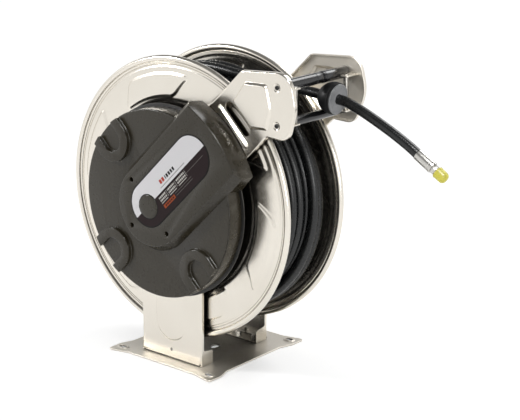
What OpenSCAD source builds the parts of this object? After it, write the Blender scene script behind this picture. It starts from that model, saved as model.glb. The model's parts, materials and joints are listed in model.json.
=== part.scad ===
// Spring-rewind hose reel on two pedestals, with roller guide, hose, ball stop and water swivel.
// Millimetres. X points where the hose leaves, Y along the reel's axis from the spring side to the
// inlet side, Z up. The origin is the middle of the base plate's underside.

/* [Base and pedestals] */
// Length of the base plate across the reel, without its ears
base_x = 276; // [240:1:320]
// Length of the base plate along the reel's axis, without its ears
base_y = 300; // [290:1:340]
// Thickness of the base plate
base_t = 4; // [3:0.5:8]
// How far each ear stands out past the plate
ear_out = 14; // [8:1:20]
// How far the fixing slots lie in from the plate's edge, across the reel
slot_in_x = 12; // [10:1:20]
// How far the fixing slots lie in from the plate's edge, along the axis
slot_in_y = 14; // [12:1:20]
// Width of a fixing slot
slot_w = 11; // [9:0.5:13]
// Length of a fixing slot, end to end
slot_l = 18; // [15:1:22]
// Width of a pedestal
pedestal_w = 172; // [150:1:190]
// Sheet thickness of a pedestal
pedestal_t = 3; // [2.5:0.5:4]
// Depth of a pedestal's side flange
flange_d = 14; // [8:1:14]
// Depth of a pedestal's foot
foot_d = 38; // [32:1:44]
// Height of a pedestal's foot gusset
foot_h = 29; // [24:1:34]
// Height of the reel's axis over the floor
axis_h = 361; // [355:1:400]
// Offset of the reel's middle from the base's middle, along Y
reel_y = -4; // [-8:1:8]

/* [Reel] */
// Diameter of the side discs
disc_d = 610; // [590:1:620]
// Clear distance between the flat webs of the side discs
disc_gap = 179; // [176:1:182]
// Sheet thickness of a side disc
disc_t = 1.5; // [1:0.25:2.5]
// Diameter of the rolled rim
rim_d = 13.6; // [10:0.2:14]
// Radius of the sunk middle of a disc
dish_r = 200; // [190:1:205]
// How far the middle of a disc is sunk
dish_d = 6; // [4:0.5:7]
// Number of pressed pockets in a disc
pocket_n = 6; // [4:1:8]
// Height of a pressed pocket
pocket_h = 3.5; // [2:0.5:4]
// Outer radius of the steel drum
drum_r = 150; // [145:1:160]
// Wall of the drum
drum_t = 3; // [2:0.5:5]
// Diameter of the shaft
shaft_d = 35; // [30:1:40]

/* [Spring motor and covers] */
// Radius of the spring cover
cover_r = 202; // [196:1:204]
// Depth of the spring cover
cover_h = 38; // [36:1:44]
// Wall of the plastic covers
cover_t = 3; // [2:0.5:4]
// Height of the horseshoe bosses
boss_h = 10; // [6:1:12]
// Radius of the arm cover's round end, at its front
hood_r = 85; // [80:1:90]
// How far the arm cover's sides flare out to their foot
hood_flare = 15; // [10:1:18]
// Height of the arm cover over the spring cover
hood_h = 22.5; // [20:0.5:28]
// Reach of the arm cover from the axis
hood_reach = 255; // [245:1:256]
// Half width of the name panel
panel_r = 43; // [38:1:50]
// Distance between the centres of the name panel's round ends
panel_l = 170; // [140:1:180]
// Radius of the round plug on the axis
plug_r = 26.3; // [24:0.1:30]

/* [Hose and guide] */
// Outer diameter of the hose
hose_d = 21; // [20:0.5:22]
// Space between the first turn of the hose and the near disc
wind_near_gap = 3.4; // [2:0.2:6]
// Space between the last lower turn of the hose and the far disc
wind_far_gap = 13; // [4:1:16]
// Number of turns in the upper layer
upper_turns = 1.8; // [1.5:0.1:2.5]
// Number of turns in the layer below
lower_turns = 5.9; // [4:0.1:6]
// Thickness of a guide arm's sheet
arm_t = 3; // [2:0.5:4]
// Depth of a guide arm's rim
arm_rim = 10; // [6:1:10]
// Distance of the level rollers from the axis, across
roller_x = 286.5; // [280:0.5:290]
// Height of the lower roller over the axis
roller_z = 204.5; // [200:0.5:206]
// Distance between the level rollers
roller_gap = 76.5; // [72:0.5:78]
// Diameter of the level rollers
roller_d = 20; // [18:0.5:22]
// Diameter of the upright rollers
upright_d = 11; // [9:0.5:14]
// Radius of the ball stop
stop_r = 33; // [30:0.5:34]
// Length of the hose ferrule
ferrule_l = 43; // [36:1:50]

/* [Hidden] */
$fn = 96;

// Clearances: loose, running fit, and the radial play of a bolt in its hole
fit = 0.3;
run_fit = 0.05;
bolt_play = 0.2;
// Overshoot of a cut past the face that it opens
eps = 1;

// Bolts: shank and head radius, head height
bolt_r = 4;
bolt_head_r = 6.5;
bolt_head_h = 5.5;
bolt_hole_r = bolt_r + bolt_play;
nut_h = 5;

// Distances from the reel's middle plane, outwards
web_in = disc_gap / 2;
web_out = web_in + disc_t;
dish_in = web_in - dish_d;
dish_out = dish_in + disc_t;
rim_mid = web_in - 0.8;
rim_out = rim_mid + rim_d / 2;
pedestal_in = rim_out + 1.8 + flange_d - pedestal_t;
pedestal_out = pedestal_in + pedestal_t;
arm_out = pedestal_out + arm_t;
can_t = 3;
can_out = arm_out + can_t;
cover_front = can_out + cover_h;
hood_front = cover_front + hood_h;

// Disc
disc_r = disc_d / 2;
rim_wall = 1.6;
rim_slit = 3;
web_r = disc_r - rim_d + rim_wall * 0.7;
dish_slope = 15;
pocket_r1 = dish_r + 22;
pocket_r2 = pocket_r1 + 48;
pocket_a1 = 83;
pocket_arc = 38;
pocket_skew = 8;

// Hub and drum fixings
hub_r = 75;
hub_t = 6;
hub_boss_r = shaft_d / 2 + 14.5;
hub_boss_l = 24;
hub_bolt_pcr = 48;
drum_lip = 30;
drum_lip_t = 4;
drum_bolt_pcr = drum_r - 12;
drum_half = dish_in - fit;
ring_n = 6;

// Latch ring and pawl
latch_r = 95;
latch_root = 83;
latch_cut = latch_r + 4;
latch_in = 36;
latch_t = 6;
latch_n = 12;
latch_mid = -92;
latch_open = 20;
pawl_r = 112;
pawl_a = -110;
pawl_pin_r = 5;
pawl_boss_r = 9;
pawl_z = dish_out + 1;
pawl_t = 5;

// Bearings
bush_r = shaft_d / 2 + 8.5;
bearing_t = 6;
bearing_r = 58;
bearing_boss_r = bush_r + 10;
bearing_boss_t = 5;
bearing_bolt_pcr = 47;
bearing_bolt_n = 4;

// Spring motor
arbor_r = shaft_d / 2 + 14.5;
can_r = cover_r + 6;
can_skin = 2;
can_depth = cover_h - 5;
spring_turns = 8;
spring_t = 1.4;
spring_z0 = can_out + bolt_head_h + fit;
spring_w = cover_h - cover_t - bolt_head_h - 4;
cover_boss_r = 4.5;
cover_screw_r = cover_r - cover_t - cover_boss_r + eps / 2;
can_wall_r = cover_screw_r - cover_boss_r - fit;
cover_screw_a = [25, 155, 205, 335];
horseshoe_s = 170;
horseshoe_r = 47;
horseshoe_in = 25;
cover_screw_l = 12;
small_screw_r = 2;
small_head_r = 3.6;
small_head_h = 2.4;
hood_screw_r = 70;
hood_screw_shank = 2.5;
hood_screw_head = [4.7, 3.5];
hood_well = [8, 5];
hood_screw_a = [135, 225, 315];
panel_t = 1;
plug_h = 6;
plug_bevel = 2.5;
plug_hole_r = plug_r - 1.3;

// Roller guide
roller_bore = 6;
arm_dir = 45;
arm_hub_r = 82;
arm_upper = 78;
arm_lower = -59;
upright_x = roller_x + 21.5;
upright_w = 84;
upright_pin_r = 3;
pin_head = 2;
lug_t = 3;
lug_x = 18;
lug_z1 = roller_z + 1;
lug_z2 = roller_z + roller_gap - 4;
collar_y = 18;
collar_l = 4;
far_roller_extra = 1;

// Hose: centre line radii of the two layers, and the route's points in X and Z
layer_gap = 0.5;
layer_r1 = 244;
layer_r2 = layer_r1 + hose_d + layer_gap;
wind_far_y = reel_y + web_in - wind_far_gap - hose_d / 2;
wind_pitch = (2 * web_in - hose_d - wind_near_gap - wind_far_gap) / lower_turns;
wind_end_a = 85;
wind_rings = 24;
core_r = layer_r1 * cos(180 / wind_rings) - hose_d / 2 - layer_gap;
tube_sides = 6;
hose_sides = 10;
// The ball stop's place along the axis and over it
stop_y = 35;
stop_over = 240;
stop_tilt = 90 - wind_end_a;
stop_front = 10;
stop_plate_t = 2.5;
// Route points: distance out from the axis and height over it
run_points = [[104, 257.5], [176, 251.5], [240, 245.5]];
tail_points = [[345, 236], [366, 229], [388, 221], [411, 211.5], [434, 201.5], [457, 191], [479, 180],
  [500, 168.8]];
tail_tilt = 31;
ferrule_r = 12;
neck_l = 11;
ferrule_edge = 2;
hex_l = 9;
cap_l = 25;
cap_r = ferrule_r + 0.5;
cap_dome = [6, 7];
thread_r = ferrule_r - 1.6;
thread_l = 17;

// Swivel
spindle_r = shaft_d / 2 - 2.5;
swivel_in = arm_out + 4;
swivel_l = 46;
swivel_step = 3;
spindle_l = 24;
swivel_r = spindle_r + 11;
inlet_r = 9.3;
inlet_l = 18;
inlet_drop = 58;

// ---------------------------------------------------------------- frames and outlines

// Reel frame: X across, Y up and Z towards the spring side, from the middle of the reel's axis
module reel() translate([0, reel_y, axis_h]) rotate([90, 0, 0]) children();
module near() reel() children();
module far() reel() mirror([0, 0, 1]) children();
module slab(z1, z2) translate([0, 0, z1]) linear_extrude(z2 - z1) children();
module rod(r, z1, z2) translate([0, 0, z1]) cylinder(r = r, h = z2 - z1);
module pipe(r1, r2, z1, z2) difference() {
  rod(r2, z1, z2);
  rod(r1, z1 - eps, z2 + eps);
}
module around(n, r, a0 = 0) for (i = [0 : n - 1]) rotate(a0 + i * 360 / n) translate([r, 0, 0]) children();

function unit(v) = v / norm(v);
function polar(r, a) = r * [cos(a), sin(a)];
// Point at u along the arm's direction and v square to it
function arm_uv(u, v) = polar(u, arm_dir) + polar(v, arm_dir + 90);

// Corner of an outline rounded to radius r; steps set how fine the arc is
function arc_of(p0, p1, p2, r, steps = 5) =
  let (a = unit(p0 - p1), b = unit(p2 - p1), half = acos(max(-1, min(1, a * b))) / 2,
    c = p1 + unit(a + b) * r / sin(half), t1 = p1 + a * r / tan(half) - c, t2 = p1 + b * r / tan(half) - c,
    a1 = atan2(t1[1], t1[0]), turn = atan2(t1[0] * t2[1] - t1[1] * t2[0], t1 * t2))
  [for (i = [0 : steps]) c + polar(r, a1 + turn * i / steps)];
// Outline through corners [x, y, r]
function rounded(c) = let (n = len(c), p = [for (q = c) [q[0], q[1]]])
  [for (i = [0 : n - 1]) each c[i][2] == 0 ? [p[i]] :
    arc_of(p[(i + n - 1) % n], p[i], p[(i + 1) % n], c[i][2])];
// The same corners moved in by t; the outline runs anticlockwise
function inset(c, t) = let (n = len(c)) [for (i = [0 : n - 1])
  let (p = [c[i][0], c[i][1]], q0 = c[(i + n - 1) % n], q1 = c[(i + 1) % n],
    d1 = unit(p - [q0[0], q0[1]]), d2 = unit([q1[0], q1[1]] - p),
    n1 = [-d1[1], d1[0]], n2 = [-d2[1], d2[0]], m = p + t * (n1 + n2) / (1 + n1 * n2),
    convex = d1[0] * d2[1] - d1[1] * d2[0] > 0)
  [m[0], m[1], max(0.5, c[i][2] + (convex ? -t : t))]];
// Outline with two half-round ends of radius r about p1 and p2
module stadium(p1, p2, r, steps = 32) {
  d = p2 - p1;
  a = atan2(d[1], d[0]) - 90;
  polygon([for (end = [0, 1], i = [0 : steps])
    (end == 0 ? p2 : p1) + polar(r, a + end * 180 + i * 180 / steps)]);
}

// Tube of n sides along a path; every ring stands square to the path's mean direction
function ring_at(p, dir, r, n) = let (s = unit(cross(dir, [0, 1, 0])), t = cross(s, dir))
  [for (j = [0 : n - 1]) p + r * (cos(360 * j / n) * s + sin(360 * j / n) * t)];
function path_dir(p, i) = unit(p[min(i + 1, len(p) - 1)] - p[max(i - 1, 0)]);
module tube(path, r, n) {
  k = len(path);
  points = [for (i = [0 : k - 1]) each ring_at(path[i], path_dir(path, i), r, n)];
  sides = [for (i = [0 : k - 2], j = [0 : n - 1]) let (a = i * n + j, b = i * n + (j + 1) % n)
    each [[a, b, b + n], [a, b + n, a + n]]];
  last = (k - 1) * n;
  ends = [for (j = [1 : n - 2]) each [[0, j + 1, j], [last, last + j, last + j + 1]]];
  polyhedron(points, concat(sides, ends));
}

// ---------------------------------------------------------------- base and pedestals

slot_x = base_x - 2 * slot_in_x;
slot_y = base_y - 2 * slot_in_y;
slot_rim = 6;
slot_rim_h = 2;
// Ear: its reach along the two sides of the plate, its straight end and its corner radii
ear_x = 41;
ear_y = 58;
ear_end = 28;
ear_root = 20;
ear_r = [8, 6];
base_hole = [15, 25];
base_hole_x = 24;

module ear_outline() {
  x = base_x / 2;
  y = base_y / 2;
  polygon(rounded([[x - ear_x, y - ear_root, 0], [x - ear_x, y, 0], [x, y + ear_out, ear_r[0]],
    [x + ear_out, y + ear_out, ear_r[1]], [x + ear_out, y - ear_end, ear_r[1]], [x, y - ear_y, 0],
    [x - ear_root, y - ear_y, 0]]));
}
module quarters() for (x = [0, 1], y = [0, 1]) mirror([x, 0, 0]) mirror([0, y, 0]) children();
module at_foot_bolts() for (side = [-1, 1], x = foot_bolt_x)
  translate([x, reel_y + side * foot_bolt_w, 0]) children();
module slot_outline(w, l) {
  for (side = [-1, 1]) translate([side * (l - w) / 2, 0]) circle(w / 2);
  square([l - w, w], center = true);
}
foot_bolt_x = [-62, -16, 16, 62];
foot_bolt_w = pedestal_out - foot_d / 2;

module at_slots() quarters() translate([slot_x / 2, slot_y / 2]) children();
module base_plate() color("#d6d1c8") difference() {
  union() {
    translate([-base_x / 2, -base_y / 2, 0]) cube([base_x, base_y, base_t]);
    quarters() slab(0, base_t) ear_outline();
    at_slots() slab(base_t - eps, base_t + slot_rim_h)
      slot_outline(slot_w + 2 * slot_rim, slot_l + 2 * slot_rim);
  }
  at_slots() slab(-eps, base_t + slot_rim_h + eps) slot_outline(slot_w, slot_l);
  for (x = [-1, 1]) translate([x * base_hole_x, 0, 0]) slab(-eps, base_t + eps)
    rotate(90) slot_outline(base_hole[0], base_hole[1]);
  at_foot_bolts() rod(bolt_hole_r, -eps, base_t + eps);
}

// Pressed panel of a pedestal: how far its round ends lie from the axis and the base, and its width
panel_top = -150;
panel_foot = base_t - axis_h + 85;
panel_half = 44;
panel_raise = 2;
gusset_r = 6;
foot_screw_r = 3.5;
foot_screw_h = 20;

// One pedestal, on the spring side: sheet, pressed panel, side flanges, foot and its gussets
module pedestal(pin_hole) {
  w = pedestal_w / 2;
  foot = base_t - axis_h;
  flange = [[pedestal_out, 0, 0], [pedestal_out, -foot, 0], [pedestal_out - flange_d, -foot, 0],
    [pedestal_out - flange_d, foot_h + gusset_r, gusset_r], [pedestal_out - foot_d, foot_h, gusset_r],
    [pedestal_out - foot_d, 0, 0]];
  difference() {
    union() {
      slab(pedestal_in, pedestal_out) union() {
        translate([-w, foot]) square([2 * w, -foot]);
        circle(w);
      }
      slab(pedestal_out - eps, pedestal_out + panel_raise)
        stadium([0, panel_foot], [0, panel_top], panel_half);
      for (x = [-w + pedestal_t, w]) translate([x, foot, 0]) rotate([0, -90, 0])
        linear_extrude(pedestal_t) polygon(rounded(flange));
      translate([-w, foot, pedestal_out - foot_d]) cube([2 * w, pedestal_t, foot_d]);
    }
    slab(pedestal_in - eps, pedestal_out)
      stadium([0, panel_foot], [0, panel_top], panel_half - panel_raise);
    rod(bush_r + fit, pedestal_in - eps, pedestal_out + eps);
    around(bearing_bolt_n, bearing_bolt_pcr, 45) rod(bolt_hole_r, pedestal_in - eps, pedestal_out + eps);
    if (pin_hole) at_pawl() rod(pawl_pin_r + run_fit, pedestal_in - eps, pedestal_out + eps);
    translate([0, foot + foot_screw_h, 0]) rod(foot_screw_r, pedestal_in - eps, pedestal_out + eps);
    for (x = foot_bolt_x) translate([x, foot - eps, foot_bolt_w]) rotate([-90, 0, 0])
      cylinder(r = bolt_hole_r, h = pedestal_t + 2 * eps);
  }
}
module near_pedestal() color("#d9d4cb") near() pedestal(true);
module far_pedestal() color("#d9d4cb") far() pedestal(false);
module pedestal_bolts() color("#b9b6ae") at_foot_bolts() {
  rod(bolt_r, fit, base_t + pedestal_t + fit);
  slab(base_t + pedestal_t, base_t + pedestal_t + bolt_head_h) circle(bolt_head_r, $fn = 6);
}

// ---------------------------------------------------------------- reel

pocket_far = 20;
pocket_lean = pocket_skew * pocket_far / (pocket_r2 - pocket_r1);
module pocket_wedge(a) polygon([polar(pocket_r2 + pocket_far, a + pocket_arc - pocket_lean),
  polar(pocket_r1 - pocket_far, a + pocket_arc + pocket_skew + pocket_lean),
  polar(pocket_r1 - pocket_far, a + pocket_skew + pocket_lean),
  polar(pocket_r2 + pocket_far, a - pocket_lean)]);
module pocket(a, t) intersection() {
  difference() {
    circle(pocket_r2 - t);
    circle(pocket_r1 + t);
  }
  rotate(t / 4) pocket_wedge(a);
  rotate(-t / 4) pocket_wedge(a);
}
module disc() difference() {
  union() {
    rotate_extrude($fn = 180) {
      polygon([[shaft_d / 2 + fit, dish_in], [dish_r, dish_in], [dish_r + dish_slope, web_in],
        [web_r, web_in], [web_r, web_out], [dish_r + dish_slope, web_out],
        [dish_r, dish_out], [shaft_d / 2 + fit, dish_out]]);
      translate([disc_r - rim_d / 2, rim_mid]) difference() {
        circle(rim_d / 2, $fn = 32);
        circle(rim_d / 2 - rim_wall, $fn = 32);
        translate([-rim_d * 0.6, -rim_d * 0.45]) square([rim_d * 0.4, rim_slit]);
      }
    }
    for (i = [0 : pocket_n - 1]) slab(web_in, web_out + pocket_h) pocket(pocket_a1 + i * 360 / pocket_n, 0);
  }
  for (i = [0 : pocket_n - 1]) slab(web_in - eps, web_in + pocket_h)
    pocket(pocket_a1 + i * 360 / pocket_n, disc_t);
  around(ring_n, hub_bolt_pcr) rod(bolt_hole_r, dish_in - eps, dish_out + eps);
  around(ring_n, drum_bolt_pcr) rod(bolt_hole_r, dish_in - eps, dish_out + eps);
}
module near_disc() color("#dcd6ca") near() disc();
module far_disc() color("#dcd6ca") far() disc();

riser_w = -40;
riser_a = 250;
riser_r = 11;
water_r = 7;
module at_riser() rotate(riser_a) translate([0, 0, riser_w]) rotate([0, 90, 0]) children();

module drum() color("#3a3a38") reel() difference() {
  union() {
    pipe(drum_r - drum_t, drum_r, -drum_half, drum_half);
    for (side = [0, 1]) mirror([0, 0, side])
      pipe(drum_r - drum_lip, drum_r - eps, drum_half - drum_lip_t, drum_half);
  }
  for (side = [0, 1]) mirror([0, 0, side]) around(ring_n, drum_bolt_pcr)
    rod(bolt_hole_r, drum_half - drum_lip_t - eps, drum_half + eps);
  at_riser() rod(riser_r + fit, drum_r - 2 * drum_t, drum_r + eps);
}
module hub() difference() {
  union() {
    rod(hub_r, dish_in - hub_t, dish_in);
    rod(hub_boss_r, dish_in - hub_t - hub_boss_l, dish_in - hub_t + eps);
  }
  rod(shaft_d / 2 + run_fit, dish_in - hub_t - hub_boss_l - eps, dish_in + eps);
  around(ring_n, hub_bolt_pcr) rod(bolt_hole_r, dish_in - hub_t - eps, dish_in + eps);
}
module near_hub() color("#55524d") near() hub();
module far_hub() color("#55524d") far() hub();

// Bolt with its head's underside at z, its shank going down by l
module bolt(z, l) {
  rod(bolt_r, z - l, z + eps);
  slab(z, z + bolt_head_h) circle(bolt_head_r, $fn = 6);
}
module hub_bolts() color("#a9a7a1") {
  near() around(ring_n, hub_bolt_pcr) bolt(dish_out + latch_t, disc_t + latch_t + hub_t);
  far() around(ring_n, hub_bolt_pcr) bolt(dish_out, disc_t + hub_t);
}
drum_bolt_l = disc_t + drum_lip_t + fit + nut_h;
module drum_bolts() color("#a9a7a1") for (side = [0, 1]) reel() mirror([0, 0, side])
  around(ring_n, drum_bolt_pcr) bolt(dish_out, drum_bolt_l);
module nut(z) difference() {
  slab(z - nut_h, z) circle(bolt_head_r, $fn = 6);
  rod(bolt_r + run_fit, z - nut_h - eps, z + eps);
}
module drum_nuts() color("#a9a7a1") for (side = [0, 1]) reel() mirror([0, 0, side])
  around(ring_n, drum_bolt_pcr) nut(drum_half - drum_lip_t);

shaft_square = 20;
shaft_near = hood_front - 6;
shaft_proud = 2;
riser_seat = 9;
circlip_t = 1.5;
circlip_r = shaft_d / 2 + 3.5;
spindle_end = swivel_in + spindle_l;
module shaft() color("#8f8c86") reel() difference() {
  union() {
    rod(shaft_d / 2, -swivel_in, cover_front + shaft_proud);
    rod(spindle_r, -spindle_end, -swivel_in + eps);
    slab(cover_front, shaft_near) square(shaft_square, center = true);
  }
  rod(water_r, -spindle_end - eps, riser_w + water_r);
  at_riser() rod(riser_r + run_fit, riser_seat, shaft_d);
  at_riser() rod(water_r, 0, shaft_d / 2);
}
module shaft_circlips() color("#6f6d69") {
  for (side = [0, 1]) reel() mirror([0, 0, side])
    pipe(shaft_d / 2 + run_fit, circlip_r, pedestal_out + fit, pedestal_out + fit + circlip_t);
}
module riser_pipe() color("#b08d4a") reel() at_riser()
  pipe(water_r, riser_r, riser_seat + fit, drum_r - eps / 2);

// ---------------------------------------------------------------- bearings and latch

bearing_in = pedestal_in - bearing_t - bearing_boss_t;
module bearing_flange() difference() {
  union() {
    rod(bearing_r, pedestal_in - bearing_t, pedestal_in);
    rod(bearing_boss_r, bearing_in, pedestal_in);
  }
  rod(bush_r + run_fit, bearing_in - eps, pedestal_in + eps);
  around(bearing_bolt_n, bearing_bolt_pcr, 45) rod(bolt_hole_r, bearing_in - eps, pedestal_in + eps);
}
module near_bearing_flange() color("#4b4a47") near() bearing_flange();
module far_bearing_flange() color("#4b4a47") far() bearing_flange();
module near_bush() color("#a5804a") near() pipe(shaft_d / 2 + run_fit, bush_r, bearing_in, pedestal_out);
module far_bush() color("#a5804a") far() pipe(shaft_d / 2 + run_fit, bush_r, bearing_in, pedestal_out);
bearing_grip = pedestal_in - bearing_t - nut_h;
module bearing_bolts() color("#a9a7a1") {
  near() around(bearing_bolt_n, bearing_bolt_pcr, 45) bolt(can_out, can_out - bearing_grip);
  far() around(bearing_bolt_n, bearing_bolt_pcr, 45) bolt(arm_out, arm_out - bearing_grip);
}
module bearing_nuts() color("#a9a7a1") for (side = [0, 1]) reel() mirror([0, 0, side])
  around(bearing_bolt_n, bearing_bolt_pcr, 45) nut(pedestal_in - bearing_t);

module latch_ring() color("#77746e") near() difference() {
  rod(latch_r, dish_out, dish_out + latch_t);
  rod(latch_in, dish_out - eps, dish_out + latch_t + eps);
  around(latch_n, 0, latch_mid) slab(dish_out - eps, dish_out + latch_t + eps)
    polygon([for (q = [[latch_root, -1], [latch_cut, -1], [latch_cut, 1], [latch_root, 1]])
      polar(q[0], q[1] * latch_open / 2)]);
  around(ring_n, hub_bolt_pcr) rod(bolt_hole_r, dish_out - eps, dish_out + latch_t + eps);
}
// Pawl's finger: first number along the ring, second towards its middle, from the pin
pawl_finger = [[-6, -7], [30, 10], [45, 18], [41, 25.2], [36, 22], [20, 15], [0, 9], [-8, 3]];
module at_pawl() rotate(pawl_a) translate([pawl_r, 0, 0]) children();
module pawl() color("#77746e") near() at_pawl() difference() {
  union() {
    slab(pawl_z, pawl_z + pawl_t) polygon([for (p = pawl_finger) [-p[1], p[0]]]);
    rod(pawl_boss_r, pawl_z, pedestal_in - fit);
  }
  rod(pawl_pin_r + run_fit, pawl_z - eps, pedestal_in + eps);
}
module pawl_pin() color("#b9b6ae") near() at_pawl() rod(pawl_pin_r, pawl_z - fit, pedestal_out);
pawl_coil_in = pawl_boss_r + fit;
pawl_coil_t = 1.6;
pawl_coil_gap = 3;
module pawl_spring() color("#8a8883") near() at_pawl() {
  pipe(pawl_coil_in, pawl_coil_in + pawl_coil_t, pawl_z + pawl_t + pawl_coil_gap,
    pedestal_in - pawl_coil_gap);
  translate([pawl_coil_in + pawl_coil_t / 2, 0, 0])
    rod(pawl_coil_t / 2, pedestal_in - pawl_coil_gap - eps, pedestal_in);
}

// ---------------------------------------------------------------- spring motor and covers

module at_cover_screws() for (a = cover_screw_a) rotate(a) translate([cover_screw_r, 0, 0]) children();
module at_hood_screws() for (a = hood_screw_a) rotate(a) translate([hood_screw_r, 0, 0]) children();
module spring_can() color("#262624") near() difference() {
  union() {
    rod(can_r, arm_out, can_out);
    pipe(can_wall_r - can_skin, can_wall_r, can_out - eps, can_out + can_depth);
  }
  rod(shaft_d / 2 + 2, arm_out - eps, can_out + eps);
  around(bearing_bolt_n, bearing_bolt_pcr, 45) rod(bolt_hole_r, arm_out - eps, can_out + eps);
  at_cover_screws() rod(small_screw_r + bolt_play, arm_out - eps, can_out + eps);
}
// Flat spiral: the strip winds from the arbor out to the can's wall
spring_r1 = arbor_r + fit + spring_t / 2;
spring_r2 = can_wall_r - can_skin - fit - spring_t / 2;
spring_step = 15;
function spiral(side) = [for (i = [0 : spring_turns * 360 / spring_step])
  polar(spring_r1 + (spring_r2 - spring_r1) * i * spring_step / 360 / spring_turns + side * spring_t / 2,
    i * spring_step)];
module mainspring() color("#5c6068") near() slab(spring_z0, spring_z0 + spring_w)
  polygon(concat(spiral(1), [for (i = [len(spiral(-1)) - 1 : -1 : 0]) spiral(-1)[i]]));
module spring_arbor() color("#66635d") near()
  pipe(shaft_d / 2 + run_fit, arbor_r, can_out + fit, can_out + can_depth);

module horseshoe() translate([horseshoe_s, 0]) difference() {
  union() {
    circle(horseshoe_r);
    translate([0, -horseshoe_r]) square([horseshoe_r, 2 * horseshoe_r]);
  }
  circle(horseshoe_in);
  translate([0, -horseshoe_in]) square([horseshoe_r + eps, 2 * horseshoe_in]);
}
edge = 2;
cover_bore = shaft_d / 2 + 3;
cover_inside = cover_front - cover_t;
module spring_cover() color("#474440") near() difference() {
  union() {
    rotate_extrude($fn = 180) polygon([[cover_bore, cover_inside], [cover_r - cover_t, cover_inside],
      [cover_r - cover_t, can_out], [cover_r, can_out], [cover_r, cover_front - edge],
      [cover_r - edge, cover_front], [cover_bore, cover_front]]);
    for (i = [0 : 3]) slab(cover_front - eps, cover_front + boss_h) intersection() {
      rotate(45 + 90 * i) horseshoe();
      circle(cover_r - edge, $fn = 180);
    }
    at_cover_screws() rod(cover_boss_r, can_out, cover_front - eps);
  }
  at_cover_screws() rod(small_screw_r + run_fit, can_out - eps, can_out + cover_screw_l + 2 * eps);
  at_hood_screws() rod(hood_screw_shank + run_fit, cover_inside - eps, cover_front + eps);
}
module cover_screws() color("#b9b6ae") near() at_cover_screws() {
  rod(small_screw_r, arm_out - eps / 2, can_out + cover_screw_l);
  rod(small_head_r, arm_out - small_head_h, arm_out);
}

// Solid form of the arm cover, drawn in by t; its end is cut round about the axis
module hood_form(t) {
  r1 = hood_r - t;
  r2 = hood_r + hood_flare - t;
  z0 = t > 0 ? cover_front - eps : cover_front;
  z1 = hood_front - t;
  rotate(arm_dir + 90) rotate_extrude(angle = 180, $fn = 180) polygon([[0, z0], [r2, z0], [r1, z1], [0, z1]]);
  intersection() {
    rotate(arm_dir) rotate([90, 0, 90]) linear_extrude(hood_reach)
      polygon([[-r2, z0], [r2, z0], [r1, z1], [-r1, z1]]);
    rod(hood_reach - t, z0, z1);
  }
  intersection() {
    rotate(arm_dir) translate([0, -r2, arm_out + fit - (t > 0 ? eps : 0)])
      cube([hood_reach, 2 * r2, cover_front - arm_out - fit + (t > 0 ? eps * 3 : 0)]);
    pipe(can_r + eps - (t > 0 ? eps / 2 : 0), hood_reach - t, arm_out - eps, cover_front + eps * 2);
  }
}
screw_seat = cover_front + hood_well[1];
module arm_cover() color("#4a4742") near() difference() {
  union() {
    difference() {
      hood_form(0);
      hood_form(cover_t);
    }
    at_hood_screws() rod(hood_well[0], cover_front, hood_front - eps);
  }
  at_hood_screws() {
    rod(hood_screw_head[0] + fit, screw_seat, hood_front + eps);
    rod(hood_screw_shank + bolt_play, cover_front - eps, screw_seat + eps);
  }
  rod(plug_hole_r, hood_front - cover_t - eps, hood_front + eps);
  slab(hood_front - panel_t, hood_front + eps) stadium([0, 0], arm_uv(panel_l, 0), panel_r + fit);
}
module arm_cover_screws() color("#2c2b29") near() at_hood_screws() {
  rod(hood_screw_shank, cover_inside - eps / 2, screw_seat + eps);
  rod(hood_screw_head[0], screw_seat, screw_seat + hood_screw_head[1]);
}
module name_panel() color("#d9d7d2") near() difference() {
  slab(hood_front - panel_t, hood_front) stadium([0, 0], arm_uv(panel_l, 0), panel_r);
  rod(plug_r + fit, hood_front - panel_t - eps, hood_front + eps);
}
module hub_plug() color("#4d4c49") near() {
  rotate_extrude() polygon([[0, hood_front - panel_t], [plug_r, hood_front - panel_t],
    [plug_r, hood_front + plug_h / 2], [plug_r - plug_bevel, hood_front + plug_h - eps],
    [0, hood_front + plug_h]]);
  pipe(plug_hole_r - cover_t, plug_hole_r - run_fit * 2, hood_front - 2 * cover_t,
    hood_front - panel_t + eps / 2);
}

// ---------------------------------------------------------------- guide arms and rollers

// The rollers' ends on an arm's sheet, and the stretch between the arm cover and them
roller_low = [roller_x, roller_z];
roller_top = [roller_x, roller_z + roller_gap];
lip_u = hood_reach + 7;
lip_r = 5;
lip_h = 5;
grip_u = [lip_u + 6, lip_u + 28];
grip_v = [-22, 42];
grip_r = (grip_u[1] - grip_u[0]) / 2;
arm_rim_u = can_r + 32;
// Corners of an arm's sheet and of its pressed panel, anticlockwise: reel frame, X across and Y up
function corner(p, d, r) = [p[0] + d[0], p[1] + d[1], r];
arm_corners = [corner(arm_uv(0, arm_upper), [0, 0], 0), corner(arm_uv(0, arm_lower), [0, 0], 0),
  corner(arm_uv(grip_u[1] + 22, arm_lower), [0, 0], 10), corner(roller_low, [29.5, -28.5], 26),
  corner(roller_low, [56.5, 41.5], 70), corner(roller_top, [39.5, 32.5], 38),
  corner(roller_top, [-93, 23], 14)];
panel_rise = 6;
arm_panel = [corner(arm_uv(grip_u[1] + 3, grip_v[0] - 6), [0, 0], 6),
  corner(roller_low, [-20.5, -12.5], 10), corner(roller_low, [-9.5, 31.5], 60),
  corner(roller_top, [-22.5, 5], 12), corner(roller_top, [-80.5, 3], 12),
  corner(arm_uv(grip_u[1] + 3, grip_v[1] + 4), [0, 0], 8)];
lug_in = upright_w - 9;
module arm_slot(u, v1, v2, r) stadium(arm_uv(u, v1), arm_uv(u, v2), r);

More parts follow.
